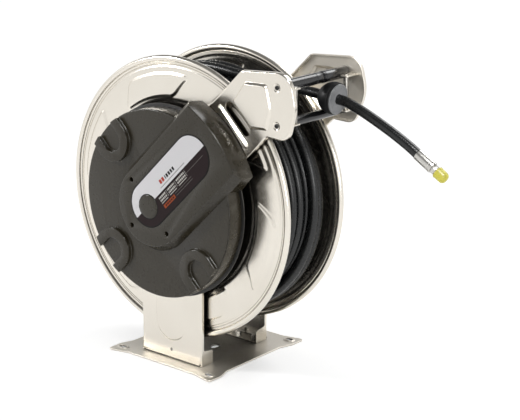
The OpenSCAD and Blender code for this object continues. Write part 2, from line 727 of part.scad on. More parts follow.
module guide_arm() difference() {
  union() {
    slab(pedestal_out, arm_out) union() {
      circle(arm_hub_r);
      polygon(rounded(arm_corners));
    }
    intersection() {
      slab(arm_out - arm_t - arm_rim, arm_out - eps) difference() {
        polygon(rounded(arm_corners));
        polygon(rounded(inset(arm_corners, arm_t)));
      }
      rotate(arm_dir) translate([arm_rim_u, -disc_d, arm_out - 2 * arm_rim])
        cube([disc_d, 2 * disc_d, 3 * arm_rim]);
    }
    slab(arm_out - eps, arm_out + panel_rise) polygon(rounded(arm_panel));
    slab(arm_out - eps, arm_out + lip_h) arm_slot(lip_u, grip_v[0] - 6, grip_v[1] + 6, lip_r);
    for (z = [lug_z1, lug_z2]) translate([upright_x - lug_x / 2, z, lug_in])
      cube([lug_x, lug_t, pedestal_out - lug_in + eps]);
  }
  slab(pedestal_out - eps, arm_out + panel_rise - arm_t) polygon(rounded(inset(arm_panel, arm_t)));
  slab(pedestal_out - eps, arm_out + lip_h + eps)
    arm_slot(grip_u[0] + grip_r, grip_v[0], grip_v[1], grip_r);
  rod(bush_r + fit, pedestal_out - eps, arm_out + eps);
  around(bearing_bolt_n, bearing_bolt_pcr, 45) rod(bolt_hole_r, pedestal_out - eps, arm_out + eps);
  for (p = [roller_low, roller_top]) translate(p) rod(bolt_hole_r, pedestal_out - eps, arm_out + eps);
  for (z = [lug_z1, lug_z2]) translate([upright_x, z - eps, upright_w]) rotate([-90, 0, 0])
    cylinder(r = upright_pin_r + run_fit, h = lug_t + 2 * eps);
}
module near_arm() color("#dfd9cd") near() guide_arm();
module far_arm() color("#dfd9cd") far() guide_arm();

roller_bolt_l = 18;
module at_roller(i) reel() translate([roller_x, roller_z + i * roller_gap, 0]) children();
module roller_bolts() color("#b9b6ae") for (i = [0, 1], side = [0, 1]) at_roller(i) mirror([0, 0, side]) {
  rod(bolt_r, arm_out - roller_bolt_l, arm_out + eps);
  rod(bolt_head_r, arm_out, arm_out + bolt_head_h);
}
module roller_shaft(i) at_roller(i) difference() {
  rod(roller_bore, -pedestal_out, pedestal_out);
  for (side = [0, 1]) mirror([0, 0, side])
    rod(bolt_r + run_fit, arm_out - roller_bolt_l - 2 * eps, pedestal_out + eps);
}
module upper_shaft() color("#8f8c86") roller_shaft(1);
module lower_shaft() color("#8f8c86") roller_shaft(0);
module roller(z1, z2, extra = 0) pipe(roller_bore + run_fit, roller_d / 2 + extra, z1, z2);
collar_z = -(collar_y - reel_y);
roller_end = pedestal_out - 2 * eps;
module upper_roller_near() color("#1d1d1e") at_roller(1) roller(collar_z + fit, roller_end);
module upper_roller_far() color("#1d1d1e") at_roller(1)
  roller(-roller_end, collar_z - collar_l - fit, far_roller_extra);
module roller_collar() color("#2a2a2a") at_roller(1)
  pipe(roller_bore + run_fit, roller_d / 2, collar_z - collar_l, collar_z);
module lower_roller() color("#1d1d1e") at_roller(0) roller(-roller_end, roller_end);

module at_upright(side) reel() mirror([0, 0, side]) translate([upright_x, 0, upright_w])
  rotate([-90, 0, 0]) children();
module upright_pins() color("#b9b6ae") for (side = [0, 1]) at_upright(side) {
  rod(upright_pin_r, lug_z1 - 1, lug_z2 + lug_t);
  rod(upright_pin_r + pin_head, lug_z2 + lug_t, lug_z2 + lug_t + pin_head);
}
module upright_roller() pipe(upright_pin_r + run_fit, upright_d / 2, lug_z1 + lug_t + fit, lug_z2 - fit);
module upright_roller_near() color("#8d8b86") at_upright(0) upright_roller();
module upright_roller_far() color("#8d8b86") at_upright(1) upright_roller();

// ---------------------------------------------------------------- hose

// The hose winds over the far side and back: t is the angle from its inner end
wind_total = 360 * (lower_turns + upper_turns);
wind_turn = 360 * lower_turns;
climb_arc = 180;
function smooth(x) = let (c = max(0, min(1, x))) c * c * (3 - 2 * c);
function wind_y(t) = wind_far_y - wind_pitch * abs(t - wind_turn) / 360;
function wind_r(t) = layer_r1 + (layer_r2 - layer_r1) * smooth((t - wind_turn + climb_arc / 2) / climb_arc);
function wind_point(t) = let (a = wind_end_a + wind_total - t, r = wind_r(t))
  [r * cos(a), wind_y(t), axis_h + r * sin(a)];
wind_steps = round(wind_total * wind_rings / 360);
wind_turns_path = [for (i = [0 : wind_steps]) wind_point(wind_total * i / wind_steps)];
wind_in = unit(wind_turns_path[1] - wind_turns_path[0]);
wind_out = [sin(wind_end_a), 0, -cos(wind_end_a)];
wind_last = wind_turns_path[wind_steps];
wind_path = concat([wind_turns_path[0] - hose_d * wind_in], wind_turns_path, [wind_last + hose_d * wind_out]);
// Least gap of the winding to itself, half a turn or more apart
wind_gap = min([for (i = [0 : wind_steps], j = [i + wind_rings / 2 : 1 : wind_steps])
  norm(wind_turns_path[i] - wind_turns_path[j])]) - hose_d;
echo(least_gap_of_winding = wind_gap);

stop_x = roller_x + sqrt(pow(stop_r + roller_d / 2 + fit, 2) - pow(stop_over - roller_z, 2));
stop_dir = [cos(stop_tilt), 0, -sin(stop_tilt)];
stop_at = [stop_x, stop_y, axis_h + stop_over];
stop_exit = stop_at + (stop_front + stop_plate_t) * stop_dir;
stop_entry = stop_at - (stop_r + hose_d / 2) * stop_dir;
run_start = wind_last + hose_d * wind_out;
function run_y(x) = run_start[1] + (stop_y - run_start[1])
  * smooth((x - run_start[0]) / (stop_entry[0] - run_start[0]));
run_path = concat([run_start, run_start + hose_d * wind_out],
  [for (p = run_points) [p[0], run_y(p[0]), axis_h + p[1]]], [stop_entry, stop_exit]);
tail_dir = [cos(tail_tilt), 0, -sin(tail_tilt)];
tail_last = tail_points[len(tail_points) - 1];
tail_end = [tail_last[0], stop_y, axis_h + tail_last[1]] + hose_d * tail_dir;
tail_path = concat([stop_exit, stop_exit + hose_d / 2 * stop_dir],
  [for (p = tail_points) [p[0], stop_y, axis_h + p[1]]], [tail_end]);

module hose_core() color("#161616") reel() pipe(drum_r + fit, core_r, -drum_half + fit, drum_half - fit);
module hose_winding() color("#1b1b1c") tube(wind_path, hose_d / 2, tube_sides);
module hose_run() color("#1b1b1c") tube(run_path, hose_d / 2, hose_sides);
module hose_tail() color("#1b1b1c") tube(tail_path, hose_d / 2, hose_sides);

// Ball stop, its axis along the hose: round at the back, flat at the front
module at_stop() translate(stop_at) rotate([0, 90 + stop_tilt, 0]) children();
stop_screw_x = stop_r - 11;
stop_screw_shank = 2.5;
stop_screw_head = [4.5, 4];
stop_seat = 14;
stop_screw_end = -16;
stop_bevel = 2;
module at_stop_screws() for (x = [-1, 1]) translate([x * stop_screw_x, 0, 0]) rotate([90, 0, 0]) children();
module stop_half(side) at_stop() difference() {
  intersection() {
    rotate_extrude() union() {
      intersection() {
        circle(stop_r);
        translate([0, -stop_r]) square([stop_r, stop_r]);
      }
      polygon([[0, -eps], [stop_r, -eps], [stop_r, stop_front - stop_bevel],
        [stop_r - stop_bevel, stop_front], [0, stop_front]]);
    }
    translate([-stop_r - eps, side > 0 ? fit / 2 : -stop_r - eps, -stop_r - eps])
      cube([2 * stop_r + 2 * eps, stop_r + eps - fit / 2, 3 * stop_r]);
  }
  rod(hose_d / 2 + fit, -stop_r - eps, stop_front + eps);
  at_stop_screws() {
    rod(stop_screw_shank + bolt_play, -stop_r - eps, stop_r + eps);
    rod(stop_screw_head[0] + eps / 2, stop_seat, stop_r + eps);
  }
}
module stop_half_near() color("#232323") stop_half(-1);
module stop_half_far() color("#232323") stop_half(1);
module stop_screws() color("#9b9993") at_stop() at_stop_screws() {
  rod(stop_screw_shank, stop_screw_end, stop_seat + eps);
  rod(stop_screw_head[0], stop_seat, stop_seat + stop_screw_head[1]);
}
module stop_plate() color("#a6a5a1") at_stop()
  pipe(hose_d / 2 + fit, stop_r - stop_bevel, stop_front, stop_front + stop_plate_t);

// Pieces on the hose's end, along its last direction
module at_end() translate(tail_end) rotate([0, 90 + tail_tilt, 0]) children();
module hose_ferrule() color("#c9c7c2") at_end() rotate_extrude()
  polygon([[0, 0], [ferrule_r - ferrule_edge / 2, 0], [ferrule_r, ferrule_edge / 2],
    [ferrule_r, ferrule_l - ferrule_edge], [ferrule_r - ferrule_edge, ferrule_l], [0, ferrule_l]]);
module end_fitting() color("#bdbbb5") at_end() {
  slab(ferrule_l, ferrule_l + hex_l) circle(ferrule_r - 1, $fn = 6);
  rod(thread_r, ferrule_l + hex_l - eps, ferrule_l + neck_l + thread_l);
}
module end_cap() color("#e3dc2f") at_end() translate([0, 0, ferrule_l + neck_l]) difference() {
  rotate_extrude() polygon([[0, 0], [cap_r, 0], [cap_r, cap_l - cap_dome[1]],
    [cap_r - cap_dome[0] / 3, cap_l - cap_dome[1] * 3 / 7], [cap_r - cap_dome[0], cap_l], [0, cap_l]]);
  rod(thread_r + fit, -eps, thread_l + fit);
}

// ---------------------------------------------------------------- water swivel

seal_r = 1.3;
seal_w = [swivel_in + 6, swivel_in + 16];
inlet_bore = 6;
inlet_w = spindle_end + inlet_bore;
inlet_wall = 1.6;
inlet_nut_r = 15;
inlet_nut_l = 22;
inlet_seat = 14;
inlet_neck = [20, 22];
inlet_end = inlet_drop + inlet_bore;
swivel_wall = 4;
elbow_r = 16;
// The inlet points away from where the hose leaves
inlet_turn = -90;
module swivel() far() rotate(inlet_turn) children();
module at_inlet() translate([0, 0, inlet_w]) rotate([90, 0, 0]) children();
module swivel_body() color("#b9a06a") swivel() difference() {
  union() {
    rod(swivel_r, swivel_in, swivel_in + swivel_l);
    at_inlet() rod(elbow_r, 0, inlet_end - inlet_nut_l);
  }
  rod(spindle_r + run_fit, swivel_in - eps, spindle_end + fit);
  rod(spindle_r - swivel_step, spindle_end, swivel_in + swivel_l - swivel_wall);
  at_inlet() rod(inlet_r + inlet_wall + run_fit, inlet_seat, inlet_drop);
  at_inlet() rod(inlet_bore, 0, inlet_neck[0]);
  for (w = seal_w) rod(spindle_r + 2 * seal_r + fit, w - seal_r - fit, w + seal_r + fit);
}
module swivel_seals() color("#191919") swivel() for (w = seal_w) rotate_extrude()
  translate([spindle_r + seal_r + run_fit, w]) circle(seal_r, $fn = 24);
module inlet_fitting() color("#c2a86e") swivel() at_inlet() difference() {
  union() {
    rod(inlet_r + inlet_wall, inlet_neck[1], inlet_end - inlet_nut_l + eps);
    slab(inlet_end - inlet_nut_l, inlet_end) circle(inlet_nut_r, $fn = 6);
  }
  rod(inlet_r, inlet_end - inlet_l, inlet_end + eps);
  rod(inlet_bore, inlet_neck[0], inlet_drop);
}

// ---------------------------------------------------------------- nodes

base_plate();
near_pedestal();
far_pedestal();
pedestal_bolts();
near_disc();
far_disc();
drum();
near_hub();
far_hub();
hub_bolts();
drum_bolts();
drum_nuts();
shaft();
shaft_circlips();
riser_pipe();
near_bearing_flange();
far_bearing_flange();
near_bush();
far_bush();
bearing_bolts();
bearing_nuts();
latch_ring();
pawl();
pawl_pin();
pawl_spring();
spring_can();
mainspring();
spring_arbor();
spring_cover();
cover_screws();
arm_cover();
arm_cover_screws();
name_panel();
hub_plug();
near_arm();
far_arm();
roller_bolts();
upper_shaft();
lower_shaft();
upper_roller_near();
upper_roller_far();
roller_collar();
lower_roller();
upright_pins();
upright_roller_near();
upright_roller_far();
hose_core();
hose_winding();
hose_run();
stop_half_near();
stop_half_far();
stop_screws();
stop_plate();
hose_tail();
hose_ferrule();
end_fitting();
end_cap();
swivel_body();
swivel_seals();
inlet_fitting();
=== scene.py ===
"""Looks of a spring-rewind hose reel on two pedestals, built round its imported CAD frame.

Every size is in millimetres, in the frame's own axes: X the way the hose leaves, Y along the reel's
axis from the spring side to the inlet side, Z up. A mesh is turned to metres when it is finished.
"""
import json
import logging
import math
from dataclasses import dataclass, field, replace
from enum import Enum
from typing import Callable, Iterable, Sequence

import bmesh
import bpy
from mathutils import Matrix, Vector

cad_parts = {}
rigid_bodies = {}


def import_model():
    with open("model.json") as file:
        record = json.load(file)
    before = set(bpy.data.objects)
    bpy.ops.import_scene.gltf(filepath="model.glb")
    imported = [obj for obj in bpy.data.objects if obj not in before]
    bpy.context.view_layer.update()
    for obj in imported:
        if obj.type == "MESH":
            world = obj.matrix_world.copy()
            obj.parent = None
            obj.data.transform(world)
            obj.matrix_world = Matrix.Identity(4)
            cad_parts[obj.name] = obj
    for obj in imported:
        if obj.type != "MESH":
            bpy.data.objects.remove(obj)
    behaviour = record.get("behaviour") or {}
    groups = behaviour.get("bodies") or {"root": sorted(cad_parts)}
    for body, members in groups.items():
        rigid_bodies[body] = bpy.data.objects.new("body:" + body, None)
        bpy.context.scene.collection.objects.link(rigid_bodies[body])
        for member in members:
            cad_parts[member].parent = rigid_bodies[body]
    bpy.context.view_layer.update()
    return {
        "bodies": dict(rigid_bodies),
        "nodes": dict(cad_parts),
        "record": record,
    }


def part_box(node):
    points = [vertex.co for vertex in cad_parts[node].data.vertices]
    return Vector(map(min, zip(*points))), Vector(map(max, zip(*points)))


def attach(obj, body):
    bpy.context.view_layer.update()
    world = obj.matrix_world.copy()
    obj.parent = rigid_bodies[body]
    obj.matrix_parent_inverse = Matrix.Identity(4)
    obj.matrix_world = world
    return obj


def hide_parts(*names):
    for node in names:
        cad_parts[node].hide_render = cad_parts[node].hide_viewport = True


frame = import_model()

MM = 0.001
LOG = logging.getLogger("hose_reel")
Object = bpy.types.Object
Material = bpy.types.Material
NodeTree = bpy.types.NodeTree
Socket = bpy.types.NodeSocket
Pair = tuple[float, float]
Triple = tuple[float, float, float]
Quad = tuple[float, float, float, float]
Point = Sequence[float]
Ring = list[bmesh.types.BMVert]
Seat = tuple[Vector, Vector]

# Sizes of the slow drift between a material's two tones, and of the patches in its gloss
CLOUD_MM, SMEAR_MM = 90.0, 14.0
# Shares of open sky at which painted shade takes its full colour, and at which it is gone
SHADE_FULL_SKY, SHADE_GONE_SKY = 0.12, 0.5
# Part of its half-width that the radius of a half-round end takes, so that its corners stay apart
ROUND = 0.9995
# Shortest distances that stay, in metres: between two points, and along an edge
WELD, SHORTEST = 2e-7, 1e-7


# ---- finishes

class Slot(Enum):
    """The record's material slots."""

    SHEET = "stainless_sheet"
    ZINC = "zinc_fasteners"
    TURNED = "turned_steel"
    BLACK_STEEL = "black_steel"
    CAST = "cast_housing"
    BRONZE = "bronze"
    BRASS = "brass"
    SPRING = "spring_steel"
    COVER = "cover_plastic"
    BLACK_SCREW = "black_screws"
    PANEL = "panel_print"
    ROLLER = "roller_plastic"
    STOP = "stop_rubber"
    STOP_FACE = "stop_face"
    HOSE = "hose_rubber"
    SEAL = "seal_rubber"
    CAP = "cap_plastic"


class Grain(Enum):
    """How a surface was made, which sets the pattern of its relief."""

    ROLLED = "rolled sheet, with faint long streaks"
    MOULDED = "moulded, with a pebbled grain"
    TURNED = "turned or drawn, with fine rings"
    CLOTH = "rubber cured under a cloth wrap, which leaves its weave"


def linear(colour: str) -> Quad:
    """Turn an sRGB hex value into linear light.

    Args:
        colour: The value as #rrggbb.

    Returns:
        Red, green, blue and an alpha of 1.
    """
    parts = [int(colour[i:i + 2], 16) / 255 for i in (1, 3, 5)]
    return (*[c / 12.92 if c <= 0.04045 else ((c + 0.055) / 1.055) ** 2.4 for c in parts], 1.0)


def feed(node: bpy.types.Node, inputs: dict) -> None:
    """Set or link inputs of a node.

    Args:
        node: The node.
        inputs: Values or sockets by input name or index.
    """
    for name, value in inputs.items():
        if isinstance(value, Socket):
            node.id_data.links.new(value, node.inputs[name])
        else:
            node.inputs[name].default_value = value


def add_node(tree: NodeTree, kind: str, inputs: dict | None = None, **settings: object) -> bpy.types.Node:
    """Add a node with its settings and its inputs.

    Args:
        tree: The node tree that gets the node.
        kind: Blender's name for the type of node.
        inputs: Values or sockets by input name or index.
        **settings: Properties of the node itself.

    Returns:
        The new node.
    """
    node = tree.nodes.new(kind)
    for name, value in settings.items():
        setattr(node, name, value)
    feed(node, inputs or {})
    return node


def shade(tree: NodeTree, kind: str, inputs: dict | None = None,
          **settings: object) -> bpy.types.NodeOutputs:
    """Add a shader node and give its outputs."""
    return add_node(tree, f"ShaderNode{kind}", inputs, **settings).outputs


@dataclass(frozen=True)
class Finish:
    """A real material: its tones, its gloss and the relief that its making leaves, with painted shade in its
    corners when it is given a shade colour.
    """

    slot: Slot
    colour: str
    drift: str
    metallic: float = 0.0
    roughness: float = 0.5
    spread: float = 0.05
    grain: Grain = Grain.MOULDED
    grain_mm: float = 0.8
    relief_mm: float = 0.02
    ior: float = 1.5
    specular: float = 0.5
    coat: float = 0.0
    # Painted shade: a colour that darkens the surface where ambient occlusion finds other pieces close, and
    # how far it looks
    painted_shade: str = ""
    painted_shade_reach_mm: float = 150.0

    def place(self, tree: NodeTree) -> Socket:
        """Make the coordinates that the pattern follows.

        Args:
            tree: The material's node tree.

        Returns:
            A vector in metres: the piece's own, or that of the hose laid straight.
        """
        if self.grain is not Grain.CLOTH:
            return shade(tree, "TexCoord")["Object"]
        about = shade(tree, "Attribute", attribute_name="about")
        along = shade(tree, "Attribute", attribute_name="along")
        return shade(tree, "VectorMath", {
            0: along["Vector"], 1: (0, 0, 1), 2: about["Vector"]},
            operation="MULTIPLY_ADD")[0]

    def relief(self, tree: NodeTree, place: Socket) -> Socket:
        """Make the height pattern of the surface.

        Args:
            tree: The material's node tree.
            place: Coordinates in metres.

        Returns:
            A height from 0 to 1.
        """
        per_metre = 1 / (self.grain_mm * MM)
        if self.grain is Grain.MOULDED:
            return shade(tree, "TexNoise", {
                "Vector": place, "Scale": per_metre, "Detail": 2.0, "Roughness": 0.6})[0]
        if self.grain is Grain.CLOTH:
            weave = []
            for turn in (0.8, -0.8):
                turned = shade(tree, "Mapping", {"Vector": place, "Rotation": (turn, turn, 0)})
                wave = shade(tree, "TexWave", {
                    "Vector": turned[0], "Scale": per_metre / 6, "Distortion": 0.6, "Detail": 1.0},
                    bands_direction="Z")
                weave.append(wave["Fac"])
            return shade(tree, "Math", dict(enumerate(weave)), operation="MAXIMUM")[0]
        stretch = (0.06, 1, 1) if self.grain is Grain.ROLLED else (1, 0.08, 1)
        streaks = shade(tree, "Mapping", {"Vector": place, "Scale": stretch})
        return shade(tree, "TexNoise", {
            "Vector": streaks[0], "Scale": per_metre, "Detail": 3.0, "Roughness": 0.55})[0]

    def build(self) -> Material:
        """Make the material.

        Returns:
            A node material named for the slot.
        """
        material = bpy.data.materials.new(self.slot.value)
        material.use_nodes = True
        tree = material.node_tree
        shader = tree.nodes["Principled BSDF"]
        place = self.place(tree)
        clouds = shade(tree, "TexNoise", {
            "Vector": place, "Scale": 1 / (CLOUD_MM * MM), "Detail": 4.0, "Roughness": 0.6})
        tone = shade(tree, "Mix", {
            0: clouds[0], 6: linear(self.colour), 7: linear(self.drift)}, data_type="RGBA")
        smears = shade(tree, "TexNoise", {
            "Vector": place, "Scale": 1 / (SMEAR_MM * MM), "Detail": 5.0, "Roughness": 0.65})
        gloss = shade(tree, "MapRange", {
            0: smears[0], 1: 0.3, 2: 0.7,
            3: self.roughness - self.spread, 4: self.roughness + self.spread})
        bump = shade(tree, "Bump", {
            "Height": self.relief(tree, place), "Distance": self.relief_mm * MM, "Strength": 1.0})
        colour = tone[2]
        # Painted shade: the colour goes towards the shade colour where little open sky is seen from the
        # surface
        if self.painted_shade:
            open_sky = shade(tree, "AmbientOcclusion", {"Distance": self.painted_shade_reach_mm * MM}, samples=6)
            unshaded = shade(tree, "MapRange", {
                0: open_sky["AO"], 1: SHADE_FULL_SKY, 2: SHADE_GONE_SKY}, interpolation_type="SMOOTHSTEP")
            colour = shade(tree, "Mix", {
                0: unshaded[0], 6: linear(self.painted_shade), 7: colour}, data_type="RGBA")[2]
        feed(shader, {"Base Color": colour, "Roughness": gloss[0], "Normal": bump[0],
                      "Metallic": self.metallic, "Coat Weight": self.coat})
        if not self.metallic:
            feed(shader, {"IOR": self.ior, "Specular IOR Level": self.specular})
        return material


@dataclass(frozen=True)
class PanelPrint(Finish):
    """Printed film on the arm cover: a white and a dark half, with a scale of plain marks, and painted shade
    in the gaps round the film and round the plug.
    """

    centre: Triple = (0, 0, 361)
    turn: float = 45.0
    start: float = 2.0
    length: float = 172.0
    lift: float = 3.4
    half: float = 46.4
    plug_r: float = 27.2
    divide: float = -2.0
    dark: str = "#221416"
    # Near-black: the tone of some printed marks, and painted shade in the gaps round the film and round the
    # plug
    edge: str = "#0e0d0c"
    mark: str = "#d9d6d0"
    accent: str = "#a04a26"
    warm: str = "#b8493a"
    grey: str = "#77736f"

    def marks(self) -> list[tuple[str, Quad, float, float]]:
        """List the plain marks in the order in which they are printed.

        Returns:
            Rows of a colour, a box as its u and v ranges, and the pitch and width of even marks in it.
        """
        rows = []
        for start, end in ((38, 62), (70, 96), (104, 134)):
            rows += [(self.mark, (start, end, low, low + 4), 5.2, 3.6) for low in (-11.0, -17.5)]
            rows += [(self.mark, (start, end, -21.8, -20.4), 0, 0),
                     (self.mark, (end + 3.4, end + 4.2, -20, -6), 0, 0)]
        rows += [(self.accent, (38, 80, -34, -26), 0, 0), (self.dark, (41, 77, -31.6, -28.4), 7.0, 5.0)]
        rows += [(self.grey, (start, start + 62, low, low + 0.8), 0, 0)
                 for start, low in ((84, -27.2), (84, -32.6), (140, -14.6))]
        return [*rows, (self.warm, (63, 81, 10, 19), 9.0, 6.8), (self.edge, (84, 120, 10, 18), 8.0, 5.4),
                (self.grey, (58, 150, 3.2, 5.4), 3.2, 2.0)]

    def build(self) -> Material:
        """Make the printed film.

        Returns:
            A node material that follows the film's own plane.
        """
        material = super().build()
        tree = material.node_tree
        shader = tree.nodes["Principled BSDF"]
        film = shade(tree, "Mapping", {
            "Vector": shade(tree, "TexCoord")["Object"],
            "Location": [c * MM for c in self.centre], "Rotation": (0, -math.radians(self.turn), 0),
            "Scale": (MM, MM, MM)}, vector_type="TEXTURE")
        parts = shade(tree, "SeparateXYZ", {0: film[0]})
        u, level = parts["X"], parts["Z"]

        def maths(operation: str, *values: float | Socket) -> Socket:
            """Combine values with one Math node."""
            return shade(tree, "Math", dict(enumerate(values)), operation=operation)[0]

        v = maths("SUBTRACT", level, self.lift)

        def inside(u0: float, u1: float, v0: float, v1: float) -> Socket:
            """Say where a point lies in a box of the film."""
            return maths("MULTIPLY", maths("COMPARE", u, (u0 + u1) / 2, (u1 - u0) / 2),
                         maths("COMPARE", v, (v0 + v1) / 2, (v1 - v0) / 2))

        def every(pitch: float, width: float) -> Socket:
            """Say where a point lies in a row of even marks."""
            return maths("COMPARE", maths("MODULO", u, pitch), pitch / 2, width / 2)

        def painted(mask: Socket, under: Socket, colour: str) -> Socket:
            """Lay a colour over another where the mask is 1."""
            return shade(tree, "Mix", {0: mask, 6: under, 7: linear(colour)}, data_type="RGBA")[2]

        def distance(start: float, end: float, across: Socket) -> Socket:
            """Give the distance from a line along the film that runs from start to end."""
            beyond = maths("SUBTRACT", u, maths("MINIMUM", maths("MAXIMUM", u, start), end))
            return maths("SQRT", maths("ADD", maths("MULTIPLY", beyond, beyond),
                                       maths("MULTIPLY", across, across)))

        tone = shader.inputs["Base Color"].links[0].from_socket
        tone = painted(maths("LESS_THAN", v, self.divide), tone, self.dark)
        for colour, box, pitch, width in self.marks():
            mask = maths("MULTIPLY", every(pitch, width), inside(*box)) if pitch else inside(*box)
            tone = painted(mask, tone, colour)
        # Painted shade: the gap round the film's edge and the gap round the plug are coloured near-black
        painted_gap_shade = maths("GREATER_THAN", distance(self.start, self.length, v), self.half)
        tone = painted(painted_gap_shade, tone, self.edge)
        tone = painted(maths("LESS_THAN", distance(0.0, 0.0, level), self.plug_r), tone, self.edge)
        feed(shader, {"Base Color": tone})
        return material


# Cold-rolled stainless, satin: pale and warm, with soft reflections and faint long streaks
STAINLESS = Finish(Slot.SHEET, "#dcd6cb", "#e4dfd5", 1.0, 0.22, 0.035, Grain.ROLLED, 4.0, 0.0012)
# The same sheet with painted shade: it darkens to a near-black brown where other pieces stand close round it
SHADED_SHEET = replace(STAINLESS, painted_shade="#28241b")
# The base plate's sheet: blasted duller, with painted shade that is darker and reaches farther, deepest
# between the pedestals
BLASTED_SHADED = replace(STAINLESS, roughness=0.42, painted_shade="#15120d", painted_shade_reach_mm=300.0)
# The same sheet less polished, as on the far arm: its reflections run together into a paler tone
SATIN = replace(STAINLESS, roughness=0.46)
# Bright zinc plate on steel: paler than steel and a little cloudy
ZINC = Finish(Slot.ZINC, "#cfcdc8", "#bdbbb6", 1.0, 0.27, 0.07, Grain.TURNED, 0.5, 0.006)
# Turned bar steel: grey, with fine rings from the tool
TURNED = Finish(Slot.TURNED, "#a3a09a", "#8f8c86", 1.0, 0.30, 0.06, Grain.TURNED, 0.5, 0.008)
# Black powder coat on steel: a fine orange peel
BLACK_STEEL = Finish(Slot.BLACK_STEEL, "#1f1e1d", "#272624", 0.0, 0.42, 0.06, Grain.MOULDED, 1.6, 0.03)
# Sand-cast iron housing under grey paint: coarse and dull
CAST = Finish(Slot.CAST, "#4b4a47", "#57544f", 0.0, 0.62, 0.07, Grain.MOULDED, 1.8, 0.12)
# Sintered bronze bush: oily and yellow-brown
BRONZE = Finish(Slot.BRONZE, "#a5804a", "#8f6c3c", 1.0, 0.38, 0.08, Grain.TURNED, 0.6, 0.01)
# Forged brass: yellow, with a satin skin
BRASS = Finish(Slot.BRASS, "#b99d5e", "#a68a50", 1.0, 0.32, 0.08, Grain.MOULDED, 1.2, 0.02)
# Blued spring strip: dark and slightly blue
SPRING = Finish(Slot.SPRING, "#5c6068", "#4b4f58", 1.0, 0.28, 0.06, Grain.ROLLED, 0.8, 0.005)
# Moulded polypropylene with a leather grain: dark warm grey, with a soft sheen
COVER = Finish(Slot.COVER, "#2d281c", "#342f23", 0.0, 0.28, 0.02, Grain.MOULDED, 0.9, 0.006, specular=0.42)
# Blackened screws: nearly black, with a dull sheen
BLACK_SCREW = Finish(Slot.BLACK_SCREW, "#1c1b1a", "#262523", 0.0, 0.40, 0.06, Grain.TURNED, 0.5, 0.01)
# Printed polyester film: smooth, with a soft gloss
PANEL = PanelPrint(Slot.PANEL, "#eceaec", "#f1f0f2", 0.0, 0.34, 0.03, Grain.MOULDED, 1.0, 0.004,
                   specular=0.14)
# Turned acetal rollers: black and glossy, polished by the hose
ROLLER = Finish(Slot.ROLLER, "#121213", "#19191b", 0.0, 0.22, 0.06, Grain.TURNED, 0.7, 0.01, coat=0.2)
# Moulded rubber ball: black, with a soft sheen
STOP = Finish(Slot.STOP, "#0c0d0e", "#121314", 0.0, 0.46, 0.06, Grain.MOULDED, 1.0, 0.02, specular=0.22)
# Nylon face plate: mid grey and silky
STOP_FACE = Finish(Slot.STOP_FACE, "#8e8f91", "#9a9b9d", 0.0, 0.30, 0.05, Grain.MOULDED, 0.9, 0.02)
# Rubber hose cured under cloth: black, with the wrap's fine weave and a silky gloss
HOSE = Finish(Slot.HOSE, "#0f1011", "#17191a", 0.0, 0.27, 0.06, Grain.CLOTH, 1.3, 0.08)
# Nitrile seals: black and smooth
SEAL = Finish(Slot.SEAL, "#151515", "#1c1c1c", 0.0, 0.35, 0.05, Grain.MOULDED, 0.6, 0.01)
# Moulded polyethylene cap: clear yellow and waxy
CAP = Finish(Slot.CAP, "#f8f06a", "#f2e856", 0.0, 0.38, 0.05, Grain.MOULDED, 0.9, 0.02)

FINISHES = (STAINLESS, ZINC, TURNED, BLACK_STEEL, CAST, BRONZE, BRASS, SPRING, COVER, BLACK_SCREW, PANEL,
            ROLLER, STOP, STOP_FACE, HOSE, SEAL, CAP)


class Wardrobe:
    """Holds one built material for each slot and puts pieces into the frame."""

    def __init__(self, finishes: Iterable[Finish]) -> None:
        """Build every finish once.

        Args:
            finishes: The finish of each slot.
        """
        self.materials = {f.slot: f.build() for f in finishes}
        self.sheltered, self.satin, self.blasted_shaded = [f.build() for f in (SHADED_SHEET, SATIN, BLASTED_SHADED)]

    def dress(self, piece: Object, slot: Slot, material: Material | None = None) -> None:
        """Give a piece its material: its slot's, unless it has one of its own.

        Args:
            piece: A new object, or a CAD node that stays as it is.
            slot: Its material slot.
            material: A material of the piece's own, in place of its slot's.
        """
        piece.data.materials.clear()
        piece.data.materials.append(material or self.materials[slot])

    def enlist(self, piece: Object, slot: Slot, body: str, *nodes: str,
               material: Material | None = None) -> Object:
        """Dress a piece, let it ride on its body and stand for its CAD nodes.

        Args:
            piece: The finished object.
            slot: Its material slot.
            body: The CAD body that carries it.
            *nodes: The CAD nodes that it replaces.
            material: A material of the piece's own, in place of its slot's.

        Returns:
            The same object.
        """
        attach(piece, body)
        self.dress(piece, slot, material)
        if nodes:
            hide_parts(*nodes)
        LOG.info("%s rides on %s, %d faces", piece.name, body, len(piece.data.polygons))
        return piece


# ---- outlines

@dataclass
class Outline:
    """A closed outline, anticlockwise, with the inward direction at each point."""

    points: list[Vector]
    inward: list[Vector]

    def moved(self, t: float) -> list[Vector]:
        """Move every point inwards by t."""
        return [p + m * t for p, m in zip(self.points, self.inward)]


